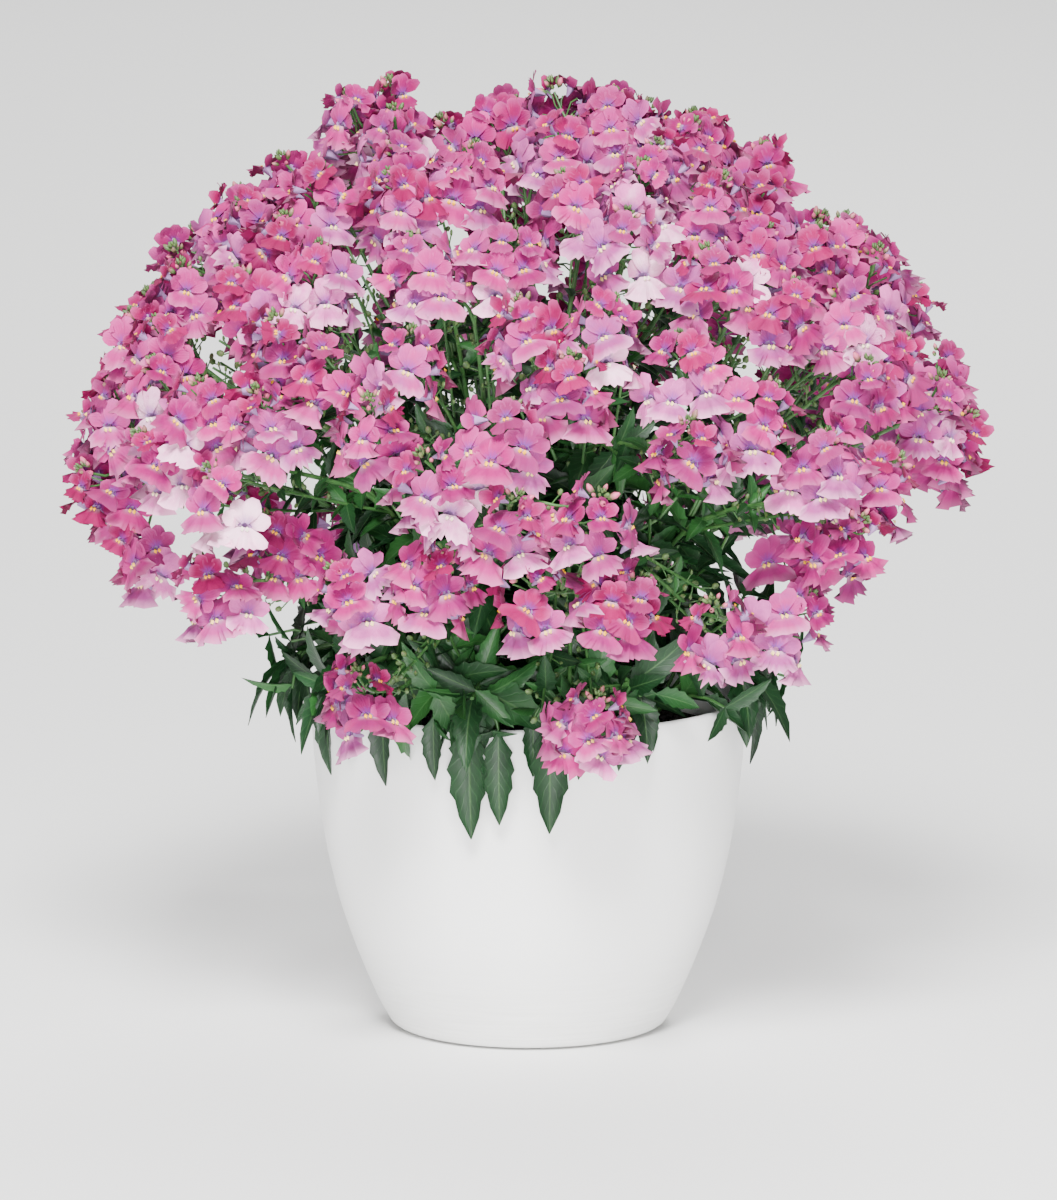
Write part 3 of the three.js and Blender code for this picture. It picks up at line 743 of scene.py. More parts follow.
counts = [flower_form(f"flower_{k}", flower_forms, form_draw, **sizes)
          for k, sizes in enumerate(FLOWER_FORMS)]
print("flower forms:", len(counts), "with", max(counts), "faces at most")

# %% [markdown]
# A nemesia leaf is a lance shape with a few coarse teeth on each side, folded a little along its
# midrib. It is drawn one unit long, so that its size mark is its length. Buds and seed capsules are
# small closed drops, and a bud keeps how far along it each point is, for its pink tip.

# %% Leaf and bud forms
# The leaf's half outline: shares of its length and width. Its inner points keep to INNER_WIDTH, its
# side points lie back a little, and its edge is uneven.
LEAF_EDGE = [(0, 0.07), (0.1, 0.36), (0.24, 0.9), (0.29, 0.74), (0.43, 1.0), (0.49, 0.8), (0.62, 0.87),
             (0.68, 0.64), (0.82, 0.5), (1.0, 0.02)]
LEAF_COLUMNS = (-1, -0.5, 0, 0.5, 1)
INNER_WIDTH = 0.9
SIDE_BACK = 0.04
LEAF_UNEVEN = 0.012
BUD_SIDES = 5


def leaf_form(name, collection, draw, width, droop, fold):
    """A toothed leaf along +Y, one metre long before its size is applied."""
    form = Form()
    rows = []
    for t, share in LEAF_EDGE:
        row = []
        for s in LEAF_COLUMNS:
            edge = share if abs(s) == 1 else min(share, INNER_WIDTH)
            wave = draw(-LEAF_UNEVEN, LEAF_UNEVEN) if abs(s) == 1 else 0
            lift = fold * abs(s) * share - 0.5 * fold * (abs(s) == 0.5) * share - droop * t * t + wave
            place = Vector((s * edge * width / 2, t - SIDE_BACK * abs(s) * share, lift))
            row.append((place / MM, (s, t, 0)))
        rows.append(row)
    form.grid(rows)
    return form.save(name, collection)


def drop_form(name, collection, length, width, depth, tip):
    """A closed drop along +Y: a bud, or a seed capsule when it is flat."""
    form = Form()
    rows = []
    for t, share in ((0, 0.02), (0.25, 0.85), (0.68, 0.9), (1.0, tip)):
        angles = [math.tau * k / BUD_SIDES for k in range(BUD_SIDES)]
        rows.append([(Vector((share * width / 2 * math.sin(a), length * t, share * depth / 2 * math.cos(a))),
                      (0, t, 0)) for a in angles])
    form.grid(rows, closed=True)
    return form.save(name, collection)


# Leaf forms: width, droop and fold as shares of the length. Drops: name, length, width, depth and tip.
LEAF_SHAPES = [(0.42, 0.22, 0.1), (0.48, 0.32, 0.07), (0.36, 0.12, 0.1), (0.45, 0.42, 0.09)]
DROPS = [("bud_0", 4.2, 2.4, 2.2, 0.1), ("bud_1", 5.6, 3.2, 3.0, 0.3), ("bud_2_capsule", 4.4, 4.2, 2.0, 0.45)]
CAPSULE = 2
leaf_forms = bpy.data.collections.new("leaf_forms")
bud_forms = bpy.data.collections.new("bud_forms")
counts = [leaf_form(f"leaf_{k}", leaf_forms, form_draw, *shape) for k, shape in enumerate(LEAF_SHAPES)]
for name, *sizes in DROPS:
    drop_form(name, bud_forms, *sizes)
print("leaf forms:", len(counts), "with", max(counts), "faces at most")

# %% [markdown]
# ## Flower heads
# A real nemesia head is a short raceme: a knot of buds at the tip, young deep rose flowers close to
# it, and older, wider and paler ones below. Each solid head stands for two or three of them. Each
# flower looks outwards from its raceme, turned towards the light, with its lobes up and its lip
# down, and none stands closer to another than real ones do.

# %% Curves
def bezier(p0, p1, p2, p3):
    """A cubic curve as a function of t, like the solids' stems."""
    def at(t):
        return p0 * (1 - t) ** 3 + p1 * (3 * t * (1 - t) ** 2) + p2 * (3 * t * t * (1 - t)) + p3 * t ** 3
    return at


def tangent(curve, t, step=1e-3):
    return (curve(min(1, t + step)) - curve(max(0, t - step))).normalized()


def path_of(curve, pieces):
    return [curve(k / pieces) for k in range(pieces + 1)]


def arc_to(start, end, leave, arrive, bend=0.35):
    """A curve that leaves and arrives along two directions."""
    span = (end - start).length * bend
    return bezier(start, start + leave.normalized() * span, end - arrive.normalized() * span, end)


def spread_from(axis, tilt, around):
    """A direction at an angle to an axis, turned about it."""
    helper = UP if abs(axis.z) < 0.9 else Vector((0, -1, 0))
    side = helper.cross(axis).normalized()
    top = axis.cross(side)
    return (side * math.cos(around) + top * math.sin(around)) * math.sin(tilt) + axis * math.cos(tilt)


# %% Sizes of the racemes
RACEME_TILT = 0.74
RACEME_REACH = 27
RACEME_SPACING = 30
GAP_POINTS = 170
REAR_RACEME_SPACING = 27
REAR_GAP_POINTS = 230
REAR_FROM = 25
GAP_LIFT = 18
# Radii of the thin stalks in millimetres, at their two ends, and the seed capsules along a raceme's
# stalk: from which share of it to which, and how many.
RACEME_STALK = (0.8, 0.55)
FLOWER_STALK = (0.35, 0.4)
CAPSULE_STALK = (0.3, 0.3)
RACEME_CAPSULES = (0.1, 0.65, 7)
# Rings of flowers: height on the raceme's axis, radius, how many, upward pitch, sizes, ages, forms.
RINGS = [
    (8.5, 7.2, 4, 0.5, (0.68, 0.84), (0.0, 0.25), (0, 1, 1)),
    (1.0, 11.5, 6, 0.25, (0.86, 1.02), (0.1, 0.65), (1, 2, 3, 4)),
    (-9.0, 14.0, 7, 0.0, (0.92, 1.08), (0.38, 0.86), (2, 3, 4, 5)),
]
FLOWER_SPACING = 9.8
FLOWER_TRIES = 8
INWARD_LIMIT = -0.15
TURN_JITTER = 0.52
AGE_JITTER = 0.15
BUD_COUNTS = (11, 12, 13, 14)
# How many racemes each head has: one of these for a head of the dome, and these for the low ones.
DOME_RACEMES = (2, 3, 3, 3)
LOW_RACEMES = (1, 1, 2, 2, 2, 1, 1, 1)
# Racemes given one by one at the sides, at the rear and on top, and the outline that all keep to.
SIDE_RACEMES = [(-153, -25, 203), (-98, -78, 214), (107, -70, 214), (-115, 70, 205), (120, 62, 207),
                (51, 139, 214), (92, 110, 210), (2, 150, 212), (-44, 142, 214)]
TOP_RACEMES = [(-70, -12, 374), (-54, -2, 378)]
OUTLINE_RADIUS = 173
OUTLINE_RISE = 146
flower_places = []
raceme_places = []


def within_outline(place):
    """Draws a raceme's middle back on to the plant's outline where it would stand beyond it."""
    offset = place - Vector((0, 0, DOME_MIDDLE))
    beyond = (math.hypot(offset.x, offset.y) / OUTLINE_RADIUS) ** DOME_POWER
    beyond += (max(0, offset.z) / OUTLINE_RISE) ** DOME_POWER
    return place if beyond < 1 else place - offset * (1 - beyond ** (-1 / DOME_POWER))

print("flowers in a full raceme:", sum(ring[2] for ring in RINGS))


# %% Flowers of a raceme
def flowers_of(plan, middle, axis, outward, draw, pick):
    """Flowers in rings round one raceme, on thin stalks. Returns how many found room."""
    found = 0
    older = draw(-AGE_JITTER, AGE_JITTER)
    open_side = Vector((outward.x, outward.y, 0))
    for height, radius, count, pitch, sizes, ages, forms in RINGS:
        start = draw(0, math.tau)
        for k in range(count):
            for _ in range(FLOWER_TRIES):
                away = spread_from(axis, math.pi / 2, start + math.tau * (k + draw(-0.3, 0.3)) / count)
                place = middle + axis * (height + draw(-2, 2)) + away * radius * draw(0.88, 1.12)
                facing = Vector((away.x, away.y, 0)).normalized() + open_side * 0.2 + UP * pitch
                facing = (facing + Vector([draw(-TURN_JITTER, TURN_JITTER) for _ in range(3)])).normalized()
                roomy = all((place - other).length > FLOWER_SPACING for other in flower_places)
                if roomy and away.dot(open_side) > INWARD_LIMIT:
                    break
            else:
                continue
            flower_places.append(place)
            top = UP + Vector([draw(-TURN_JITTER, TURN_JITTER) for _ in range(3)])
            along = top - facing * top.dot(facing)
            plan.copy(place, BLADE, pick(forms), draw(*sizes), draw(*ages) + older, along, facing)
            stalk_foot = middle + axis * (height * 0.7 - 7)
            stalk = arc_to(stalk_foot, place - facing * 4.5, axis + away, facing)
            plan.line(path_of(stalk, 3), *FLOWER_STALK)
            found += 1
    return found


# %% Buds and seed capsules
def buds_of(plan, middle, axis, draw, pick):
    """A knot of buds at the tip of a raceme, the smallest at the top."""
    count = pick(BUD_COUNTS)
    for k in range(count):
        share = k / count
        away = spread_from(axis, 1.15 * (1 - share) + 0.1, k * GOLDEN_TURN)
        root = middle + axis * (7 + 5.5 * share) + away * (3.2 - 2.2 * share)
        form = pick((0, 0, 1)) if share < 0.5 else 0
        size = draw(0.8, 1.1) * (0.95 - 0.45 * share)
        age = max(0.0, 0.75 - share + draw(-AGE_JITTER, AGE_JITTER))
        plan.copy(root, BUD, form, size, age, away + axis * 0.5, away.cross(axis))


def capsules_along(plan, curve, first, last, count, draw):
    """Small seed capsules on short stalks, where flowers have fallen below a head."""
    for k in range(count):
        t = first + (last - first) * k / count
        out = spread_from(tangent(curve, t), 1.0, k * GOLDEN_TURN + draw(-0.3, 0.3))
        root = curve(t) + out * 5
        plan.line([curve(t), root], *CAPSULE_STALK)
        plan.copy(root, BUD, CAPSULE, draw(0.45, 0.8), 0.0, out + UP * 0.5, out.cross(UP))


# %% Racemes of one head
def raceme(plan, head, toward, middle, draw, pick):
    """One raceme: its stalk from the head's seat, its flowers and its knot of buds."""
    axis = (toward + UP * 0.9).normalized()
    stalk = arc_to(head.seat, middle + axis * 8, head.axis, axis)
    plan.line(path_of(stalk, 5), *RACEME_STALK)
    capsules_along(plan, stalk, *RACEME_CAPSULES, draw)
    buds_of(plan, middle, axis, draw, pick)
    raceme_places.append(middle)
    return flowers_of(plan, middle, axis, (toward * 0.5 + head.outward).normalized(), draw, pick)


def head_plan(index, head, draw, pick):
    """The two or three racemes of one head, or the single one of a low head."""
    plan = Plan()
    low = index >= DOME_HEADS
    count = LOW_RACEMES[index - DOME_HEADS] if low else pick(DOME_RACEMES)
    found = 0
    for k in range(count):
        if low:
            toward = spread_from(head.axis, 0.1 if count == 1 else 0.85, math.pi * k + draw(-0.2, 0.2))
        else:
            tilt = RACEME_TILT * (0.9 if count == 2 else 1) + draw(-0.08, 0.08)
            toward = spread_from(head.axis, tilt, head.spin + math.tau * k / count + draw(-0.2, 0.2))
        middle = within_outline(head.point + toward * RACEME_REACH * head.size * draw(0.9, 1.06))
        found += raceme(plan, head, toward, middle, draw, pick)
    return plan, found


# %% Plan the heads
RACEME_SEED = 31
head_random = random.Random(RACEME_SEED)
head_plans = []
flower_count = 0
for k, head in enumerate(heads):
    plan, found = head_plan(k, head, head_random.uniform, head_random.choice)
    head_plans.append(plan)
    flower_count += found


def nearest_head(place, count):
    """The number of the head that is nearest to a place, out of the first ones."""
    return min(range(count), key=lambda number: (heads[number].point - place).length)


def another_raceme(number, toward, middle):
    """One more raceme off the seat of a head, and how many flowers it holds."""
    return raceme(head_plans[number], heads[number], toward, middle, head_random.uniform, head_random.choice)


def placed_raceme(place):
    """A raceme at a given place, off the nearest head's seat."""
    middle = Vector(place)
    number = nearest_head(middle, len(heads))
    return another_raceme(number, heads[number].outward, middle)


def fill_gaps(points, spacing, wanted):
    """More racemes on the dome wherever the nearest one is further off than a spacing."""
    found = 0
    for k, turn in enumerate(even_turns(points)):
        point, outward = dome_point(turn, k * GOLDEN_TURN)
        middle = within_outline(point + outward * (GAP_LIFT + head_random.uniform(-6, 4)))
        if wanted(point) and all((middle - other).length > spacing for other in raceme_places):
            found += another_raceme(nearest_head(point, DOME_HEADS), outward, middle)
    return found


flower_count += sum(placed_raceme(place) for place in SIDE_RACEMES)
flower_count += fill_gaps(GAP_POINTS, RACEME_SPACING, lambda point: True)
flower_count += fill_gaps(REAR_GAP_POINTS, REAR_RACEME_SPACING, lambda point: point.y > REAR_FROM)
flower_count += sum(placed_raceme(place) for place in TOP_RACEMES)
print("racemes:", len(raceme_places), "flowers:", flower_count)

# %% [markdown]
# ## Stems and leaves
# The main stems rise out of the soil and branch to the heads. Their curves are the solids' own, but
# thinner, as the real stems are, with side shoots between them. Leaves grow in pairs, each pair a
# quarter turn round from the last, large below and small above. The shoots at the edge lean out over
# the rim, and their leaves hang down in front of the pot.

# %% Stem curves
STEM_COUNT = 12
TOP_STEMS = 3
TOP_SHARE = 0.22
SOIL_TOP = 123
FOOT_TOP = 3
TOP_ROOT_RADIUS = 15
OUTER_ROOT_RADIUS = 52
STEM_RISE = 0.4
FIRST_BRANCH = 0.25
LAST_BRANCH = 0.7
SHOOT_START = 0.12
SHOOT_SWING = 0.12
RIM_SHOOT_RADIUS = 99
RIM_SHOOT_HEIGHT = 152
Plant = namedtuple("Plant", "bearing root upright branches shoots")


def grouped(heads):
    """The heads of each plant: those at the top share the middle stems."""
    groups = [[] for _ in range(STEM_COUNT)]
    top_count = round(DOME_HEADS * TOP_SHARE)
    for index, head in enumerate(heads):
        share = head.bearing / math.tau % 1
        if index < top_count:
            groups[math.floor(share * TOP_STEMS)].append(head)
        else:
            groups[TOP_STEMS + math.floor(share * (STEM_COUNT - TOP_STEMS))].append(head)
    return groups


def branch_curve(stem, along, end, axis):
    start = stem(along)
    leave = tangent(stem, along) + (end - start).normalized() * 0.8
    return arc_to(start, end, leave, axis)


def plant_curves(group, index):
    """One plant: its upright stem, the branches off it and, at the edge, a shoot over the rim."""
    on_top = index < TOP_STEMS
    sectors = TOP_STEMS if on_top else STEM_COUNT - TOP_STEMS
    bearing = ((index if on_top else index - TOP_STEMS) + 0.5) * math.tau / sectors
    root = polar(bearing, TOP_ROOT_RADIUS if on_top else OUTER_ROOT_RADIUS, SOIL_TOP + FOOT_TOP)
    highest, *lower = sorted(group, key=lambda head: -head.point.z)
    rise = (highest.seat - root).length * STEM_RISE
    upright = bezier(root, root + UP * rise, highest.seat - highest.axis * rise, highest.seat)
    branches = []
    for k, head in enumerate(lower):
        along = FIRST_BRANCH + (LAST_BRANCH - FIRST_BRANCH) * (1 - (k + 0.5) / len(lower))
        branches.append(branch_curve(upright, along, head.seat, head.axis))
    tip = polar(bearing + SHOOT_SWING, RIM_SHOOT_RADIUS, RIM_SHOOT_HEIGHT)
    shoots = [] if on_top else [branch_curve(upright, SHOOT_START, tip, polar(bearing, 1, -0.35))]
    return Plant(bearing, root, upright, branches, shoots)


plants = [plant_curves(group, index) for index, group in enumerate(grouped(heads))]
print("plants:", len(plants), "with", sum(len(plant.branches) for plant in plants), "branches")

# %% Leaves along a stem
# A leaf keeps out of the ring that the pot's wall stands in, and out of the soil.
POT_CLEARANCE = (82.5, 92.5)
RIM_CLEARANCE = 3
SOIL_CLEARANCE = 4


def meets_pot(root, along, length):
    """Whether a leaf would cross the pot's wall."""
    for share in (0.3, 0.6, 0.9):
        place = root + along * length * share
        radius = math.hypot(place.x, place.y)
        if place.z < POT_HEIGHT + RIM_CLEARANCE and POT_CLEARANCE[0] < radius < POT_CLEARANCE[1]:
            return True
        if place.z < SOIL_TOP + SOIL_CLEARANCE and radius < POT_CLEARANCE[0]:
            return True
    return False


def leaves_along(plan, curve, run, draw, pick, rise=0.5):
    """Pairs of leaves along a stem. A run is from which share of the stem to which they grow, their
    spacing, and the sizes of the leaves at its two ends, in millimetres."""
    first, last, spacing, sizes = run
    span = (curve(last) - curve(first)).length
    pairs = max(1, round(span / spacing))
    roll = draw(0, math.tau)
    for k in range(pairs + 1):
        share = k / pairs
        t = first + (last - first) * share
        stem = tangent(curve, t)
        for side in (0, math.pi):
            out = spread_from(stem, math.pi / 2, roll + k * math.pi / 2 + side + draw(-0.25, 0.25))
            along = (out + stem * draw(0.6, 1.4) * rise).normalized()
            length = (sizes[0] + (sizes[1] - sizes[0]) * share) * draw(0.8, 1.15)
            if not meets_pot(curve(t), along, length):
                facing = stem + UP * 0.6 + Vector((out.x, out.y, 0)) * 0.3
                form = pick(range(len(LEAF_SHAPES)))
                plan.copy(curve(t), BLADE, form, length * MM, draw(0, 1), along, facing)


# %% Hanging leaves
# Large leaves in front of the pot: bearing from the front, in degrees, height of the leaf's root and
# its length, in millimetres.
FRONT_LEAVES = [(-14, 141, 47), (-7, 138, 38), (5, 142, 46), (-23, 143, 26), (1, 144, 25), (12, 144, 26),
                (22, 145, 24), (-37, 144, 32), (-57, 147, 34)]
HANGING_RADIUS = 97
# Where no such leaf is near, a plant has one of its own: how far below its shoot's tip, and its length.
HANGING_DROPS = (5, 12)
HANGING_LENGTHS = (22, 32)
HANGING_FORM = 2
TWIG = (0.9, 0.6)
TWIG_LEAVES = (0.3, 0.9, 12, (24, 18))
# Drooping leaves near the tip of a rim shoot: share of the shoot, bearing aside of it, and length.
DROOPING_LEAVES = [(0.98, 0, 30), (0.9, -1.1, 30), (0.82, 1.1, 28), (0.94, 0.5, 26), (0.86, -0.5, 28)]
DROOPING_FORMS = (0, 1, 3)
SHORTER_IN_FRONT = 4


def own_front_leaves(plant):
    """The large front leaves in a plant's own sector, with their bearings in radians."""
    nearby = math.cos(math.pi / (STEM_COUNT - TOP_STEMS))
    leaves = [(math.radians(degrees), height, length) for degrees, height, length in FRONT_LEAVES]
    return [leaf for leaf in leaves if math.cos(leaf[0] - plant.bearing) > nearby]


def hanging_leaves(plan, plant, shoot, draw, pick):
    """Trailing twigs and large leaves at the tip of a rim shoot, which hang over the rim."""
    hung = own_front_leaves(plant)
    if not hung:
        bearing = plant.bearing + SHOOT_SWING + draw(-0.1, 0.1)
        hung = [(bearing, RIM_SHOOT_HEIGHT - draw(*HANGING_DROPS), draw(*HANGING_LENGTHS))]
    for bearing, height, length in hung:
        outward = polar(bearing, 1, 0)
        twig = arc_to(shoot(0.8), polar(bearing, HANGING_RADIUS, height), outward, outward * 0.2 - UP)
        plan.line(path_of(twig, 5), *TWIG)
        age = draw(0.0, 0.25)
        plan.copy(twig(0.97), BLADE, HANGING_FORM, length * MM, age, outward * 0.06 - UP, outward)
        leaves_along(plan, twig, TWIG_LEAVES, draw, pick)
    front = max(0.0, math.cos(plant.bearing))
    for share, aside, size in DROOPING_LEAVES:
        heading = polar(plant.bearing + aside + draw(-0.15, 0.15), 0.5, draw(-1, -0.3)).normalized()
        outwards = polar(plant.bearing + aside, 1, 0.5)
        length = (size - SHORTER_IN_FRONT * front) * draw(0.9, 1.12)
        if not meets_pot(shoot(share), heading, length):
            form = pick(DROOPING_FORMS)
            plan.copy(shoot(share), BLADE, form, length * MM, draw(0, 0.5), heading, outwards)


# %% Sizes of the stems
SIDE_SHOOTS = 5
SIDE_SHOOT_TURN = 2.4
STEM_STALKS = 3
BRANCH_STALKS = 2
SPILLS = 3
SPILL_SPREAD = 0.66
SPILL_RISE = 0.35
# Radii of the stems in millimetres, at their two ends.
MAIN_STEM = (1.9, 0.9)
BRANCH = (1.2, 0.8)
SIDE_SHOOT = (1.0, 0.6)
RIM_SHOOT = (1.5, 1.0)
SPILLING_SHOOT = (0.9, 0.6)
SLIM_STALK = (0.8, 0.55)
# Leaves along each kind of stem, and seed capsules: from which share to which, and how many.
LOW_LEAVES = (0.06, 0.4, 16, (40, 24))
HIGH_LEAVES = (0.45, 0.88, 14, (22, 10))
BRANCH_LEAVES = (0.12, 0.8, 15, (26, 9))
SIDE_SHOOT_LEAVES = (0.3, 1.0, 14, (28, 15))
RIM_SHOOT_LEAVES = (0.3, 0.8, 20, (36, 32))
SPILLING_LEAVES = (0.55, 1.0, 13, (32, 22))
STALK_LEAVES = (0.15, 0.7, 20, (20, 9))
STEM_CAPSULES = (0.6, 0.98, 16)
BRANCH_CAPSULES = (0.5, 0.98, 14)
STALK_CAPSULES = (0.45, 1.0, 9)

print("shoots and stalks of an outer plant:", SIDE_SHOOTS + STEM_STALKS + SPILLS + 1)


# %% Shoots and slim stalks
def side_shoot(plant, k, draw):
    """A short leafy shoot off the lower part of an upright stem."""
    along = 0.05 + 0.08 * k + draw(0, 0.04)
    start = plant.upright(along)
    bearing = plant.bearing + k * SIDE_SHOOT_TURN + draw(-0.5, 0.5)
    end = start + polar(bearing, draw(26, 48), draw(28, 62))
    return branch_curve(plant.upright, along, end, polar(bearing, 0.5, 1))


def slim_stalks(plan, curve, count, draw, pick):
    """Thin flowering stalks that rise beside a branch, with narrow leaves and seed capsules."""
    for _ in range(count):
        first = draw(0.08, 0.35)
        aside = spread_from(tangent(curve, 0.8), math.pi / 2, draw(0, math.tau)) * draw(8, 19)
        low, high, tip = curve(first + 0.2) + aside * 0.6, curve(0.75) + aside, curve(0.98) + aside
        stalk = bezier(curve(first), low, high, tip)
        plan.line(path_of(stalk, 6), *SLIM_STALK)
        capsules_along(plan, stalk, *STALK_CAPSULES, draw)
        leaves_along(plan, stalk, STALK_LEAVES, draw, pick)


def spilling_shoots(plan, plant, draw, pick):
    """Short shoots that lean on the rim and spill their leaves over it."""
    for k in range(SPILLS):
        bearing = plant.bearing + SPILL_SPREAD * ((k + 0.5) / SPILLS - 0.5) + draw(-0.09, 0.09)
        tip = polar(bearing, draw(90, 108), draw(142, 160))
        shoot = arc_to(plant.root, tip, UP + polar(bearing, 0.6, 0), polar(bearing, 1, -0.5))
        plan.line(path_of(shoot, 6), *SPILLING_SHOOT)
        leaves_along(plan, shoot, SPILLING_LEAVES, draw, pick, SPILL_RISE)


# %% A plan for each plant
def foliage_plan(plant, draw, pick):
    """One plant's stems, side shoots, slim stalks and leaves."""
    plan = Plan()
    buried = [plant.root - UP * 24, plant.root - UP * 8]
    plan.line([*buried, *path_of(plant.upright, 12)], *MAIN_STEM)
    leaves_along(plan, plant.upright, LOW_LEAVES, draw, pick)
    leaves_along(plan, plant.upright, HIGH_LEAVES, draw, pick)
    capsules_along(plan, plant.upright, *STEM_CAPSULES, draw)
    slim_stalks(plan, plant.upright, STEM_STALKS, draw, pick)
    for branch in plant.branches:
        plan.line(path_of(branch, 8), *BRANCH)
        leaves_along(plan, branch, BRANCH_LEAVES, draw, pick)
        capsules_along(plan, branch, *BRANCH_CAPSULES, draw)
        slim_stalks(plan, branch, BRANCH_STALKS, draw, pick)
    for k in range(SIDE_SHOOTS):
        shoot = side_shoot(plant, k, draw)
        plan.line(path_of(shoot, 5), *SIDE_SHOOT)
        leaves_along(plan, shoot, SIDE_SHOOT_LEAVES, draw, pick)
    for shoot in plant.shoots:
        plan.line(path_of(shoot, 8), *RIM_SHOOT)
        leaves_along(plan, shoot, RIM_SHOOT_LEAVES, draw, pick)
        hanging_leaves(plan, plant, shoot, draw, pick)
        spilling_shoots(plan, plant, draw, pick)
    return plan


LEAF_SEED = 12
leaf_random = random.Random(LEAF_SEED)
foliage_plans = [foliage_plan(plant, leaf_random.uniform, leaf_random.choice) for plant in plants]
print("leaves:", sum(plan.marks["role"].count(BLADE) for plan in foliage_plans))

# %% [markdown]
# ## Petals, leaves, buds and stems: their finishes
# A petal is thin, matt and velvety, with no clear highlight. Its colour says how old it is: deep rose
# when it opens, then pink, then lilac, and almost white when it fades. Violet lines run out of the
# mouth on to the lobes, and the palate is yellow on a young flower and cream on an old one. The
# colours are drawn from the spot that each point keeps, and from the flower's age.

# %% Reading the spots
def read_spot(tree):
    """What a point keeps: how far across and along it is, its part, its age, and its place."""
    spot = add(tree, "ShaderNodeAttribute", attribute_name="spot").outputs["Vector"]
    across, along, part = add(tree, "ShaderNodeSeparateXYZ", {0: spot}).outputs
    age = add(tree, "ShaderNodeAttribute", attribute_name="age").outputs["Fac"]
    return across, along, part, age, add(tree, "ShaderNodeTexCoord").outputs["Object"]


# %% Petal finish
# Colours from a new flower to a fading one, and of the palate. The Scale of a noise counts patterns
# per metre, so 160 gives clouds of about 6 mm. Seen across a petal, 11 draws its veins and 19 its ribs.
PETAL_AGES = [(0.0, "#74003c"), (0.14, "#8c024c"), (0.28, "#7c0852"), (0.42, "#a81a6c"),
              (0.56, "#a82e74"), (0.7, "#963f7e"), (0.85, "#cc62a4"), (1.0, "#eec0d6")]
PALATE_AGES = [(0.0, "#eb9d05"), (0.45, "#f0b322"), (0.8, "#f4dc9c"), (1.0, "#f2e8d8")]
petal, tree, shader = finish_named("fresh_nemesia_petal", Roughness=0.7, Specular_IOR_Level=0.15,
                                   Sheen_Weight=0.03, Sheen_Roughness=0.5)
across, along, kind, age, where = read_spot(tree)
cloud = add(tree, "ShaderNodeTexNoise", {"Vector": where, "Scale": 160.0, "Detail": 3.0}).outputs[0]
drift = add(tree, "ShaderNodeMath", {0: cloud, 1: 0.3, 2: -0.15}, operation="MULTIPLY_ADD")
seen_age = add(tree, "ShaderNodeMath", {0: age, 1: drift.outputs[0]}, operation="ADD", use_clamp=True)
rose = add(tree, "ShaderNodeValToRGB", {0: seen_age.outputs[0]}, stops=PETAL_AGES).outputs[0]
yellow = add(tree, "ShaderNodeValToRGB", {0: age}, stops=PALATE_AGES).outputs[0]
part = {wanted: add(tree, "ShaderNodeMath", {0: kind, 1: wanted, 2: 0.3}, operation="COMPARE").outputs[0]
        for wanted in (LOBE, LIP, PALATE, TUBE)}
luck = add(tree, "ShaderNodeTexWhiteNoise", {"W": age}, noise_dimensions="1D").outputs["Value"]
painted_shade = add(tree, "ShaderNodeMapRange",
           {"Value": luck, "From Min": 0.55, "From Max": 1.0, "To Max": 0.5}).outputs[0]
mouth_tint_and_shade = add(tree, "ShaderNodeMapRange", {"Value": along, "From Min": 0.5, "From Max": 0.0}).outputs[0]
inner = add(tree, "ShaderNodeMapRange", {"Value": along, "From Min": 0.34, "From Max": 0.0}).outputs[0]
spread = add(tree, "ShaderNodeMath", {0: across, 1: 11.0}, operation="MULTIPLY").outputs[0]
lines = add(tree, "ShaderNodeMath", {0: spread}, operation="COSINE").outputs[0]
veins = add(tree, "ShaderNodeMapRange",
            {"Value": lines, "From Min": -0.4, "From Max": 1.0, "To Min": 0.45}).outputs[0]
edge = add(tree, "ShaderNodeMapRange", {"Value": along, "From Min": 0.55, "From Max": 1.0}).outputs[0]
off_middle = add(tree, "ShaderNodeMath", {0: across}, operation="ABSOLUTE").outputs[0]
rimward = add(tree, "ShaderNodeMath", {0: off_middle, 1: along}, operation="MAXIMUM").outputs[0]
margin_tint_and_light = add(tree, "ShaderNodeMapRange", {"Value": rimward, "From Min": 0.6, "From Max": 1.0}).outputs[0]
# Some flowers, picked at random, get painted shade: a dusky mauve. The lobes are darker at the mouth,
# partly their own deeper colour and partly painted shade, and veined there. They are paler at their
# margin, partly their own paler edge and partly painted light that sets each lobe off from the next.
# The lip pales at its edge as it ages and is pale at the mouth.
petal_colour = painted(tree, rose, [
    # Painted shade: some flowers, picked at random, are darkened towards a dusky mauve.
    (painted_shade, "#7a3468"),
    # The lobes' own deeper colour at the mouth, together with painted shade where they meet the throat.
    (part[LOBE], mouth_tint_and_shade, 0.4, "#6e2258"),
    (part[LOBE], inner, veins, 0.62, "#4a3ca0"),
    # The lobes' own paler margin, together with painted light that sets each lobe off from the one it
    # overlaps.
    (part[LOBE], margin_tint_and_light, along, 0.3, "#d065a4"),
    (part[LIP], edge, age, age, 0.9, "#eeb0d0"),
    (part[LIP], inner, inner, 0.4, "#eccfe2"),
    (part[PALATE], yellow),
    (part[TUBE], "#96719f")])
spread = add(tree, "ShaderNodeMath", {0: across, 1: 19.0}, operation="MULTIPLY").outputs[0]
ribs = add(tree, "ShaderNodeMath", {0: spread}, operation="COSINE").outputs[0]
relief = add(tree, "ShaderNodeMath", {0: ribs, 1: 0.12, 2: cloud}, operation="MULTIPLY_ADD")
finish_off(tree, shader, petal_colour, relief.outputs[0], strength=0.35, distance=0.0006)

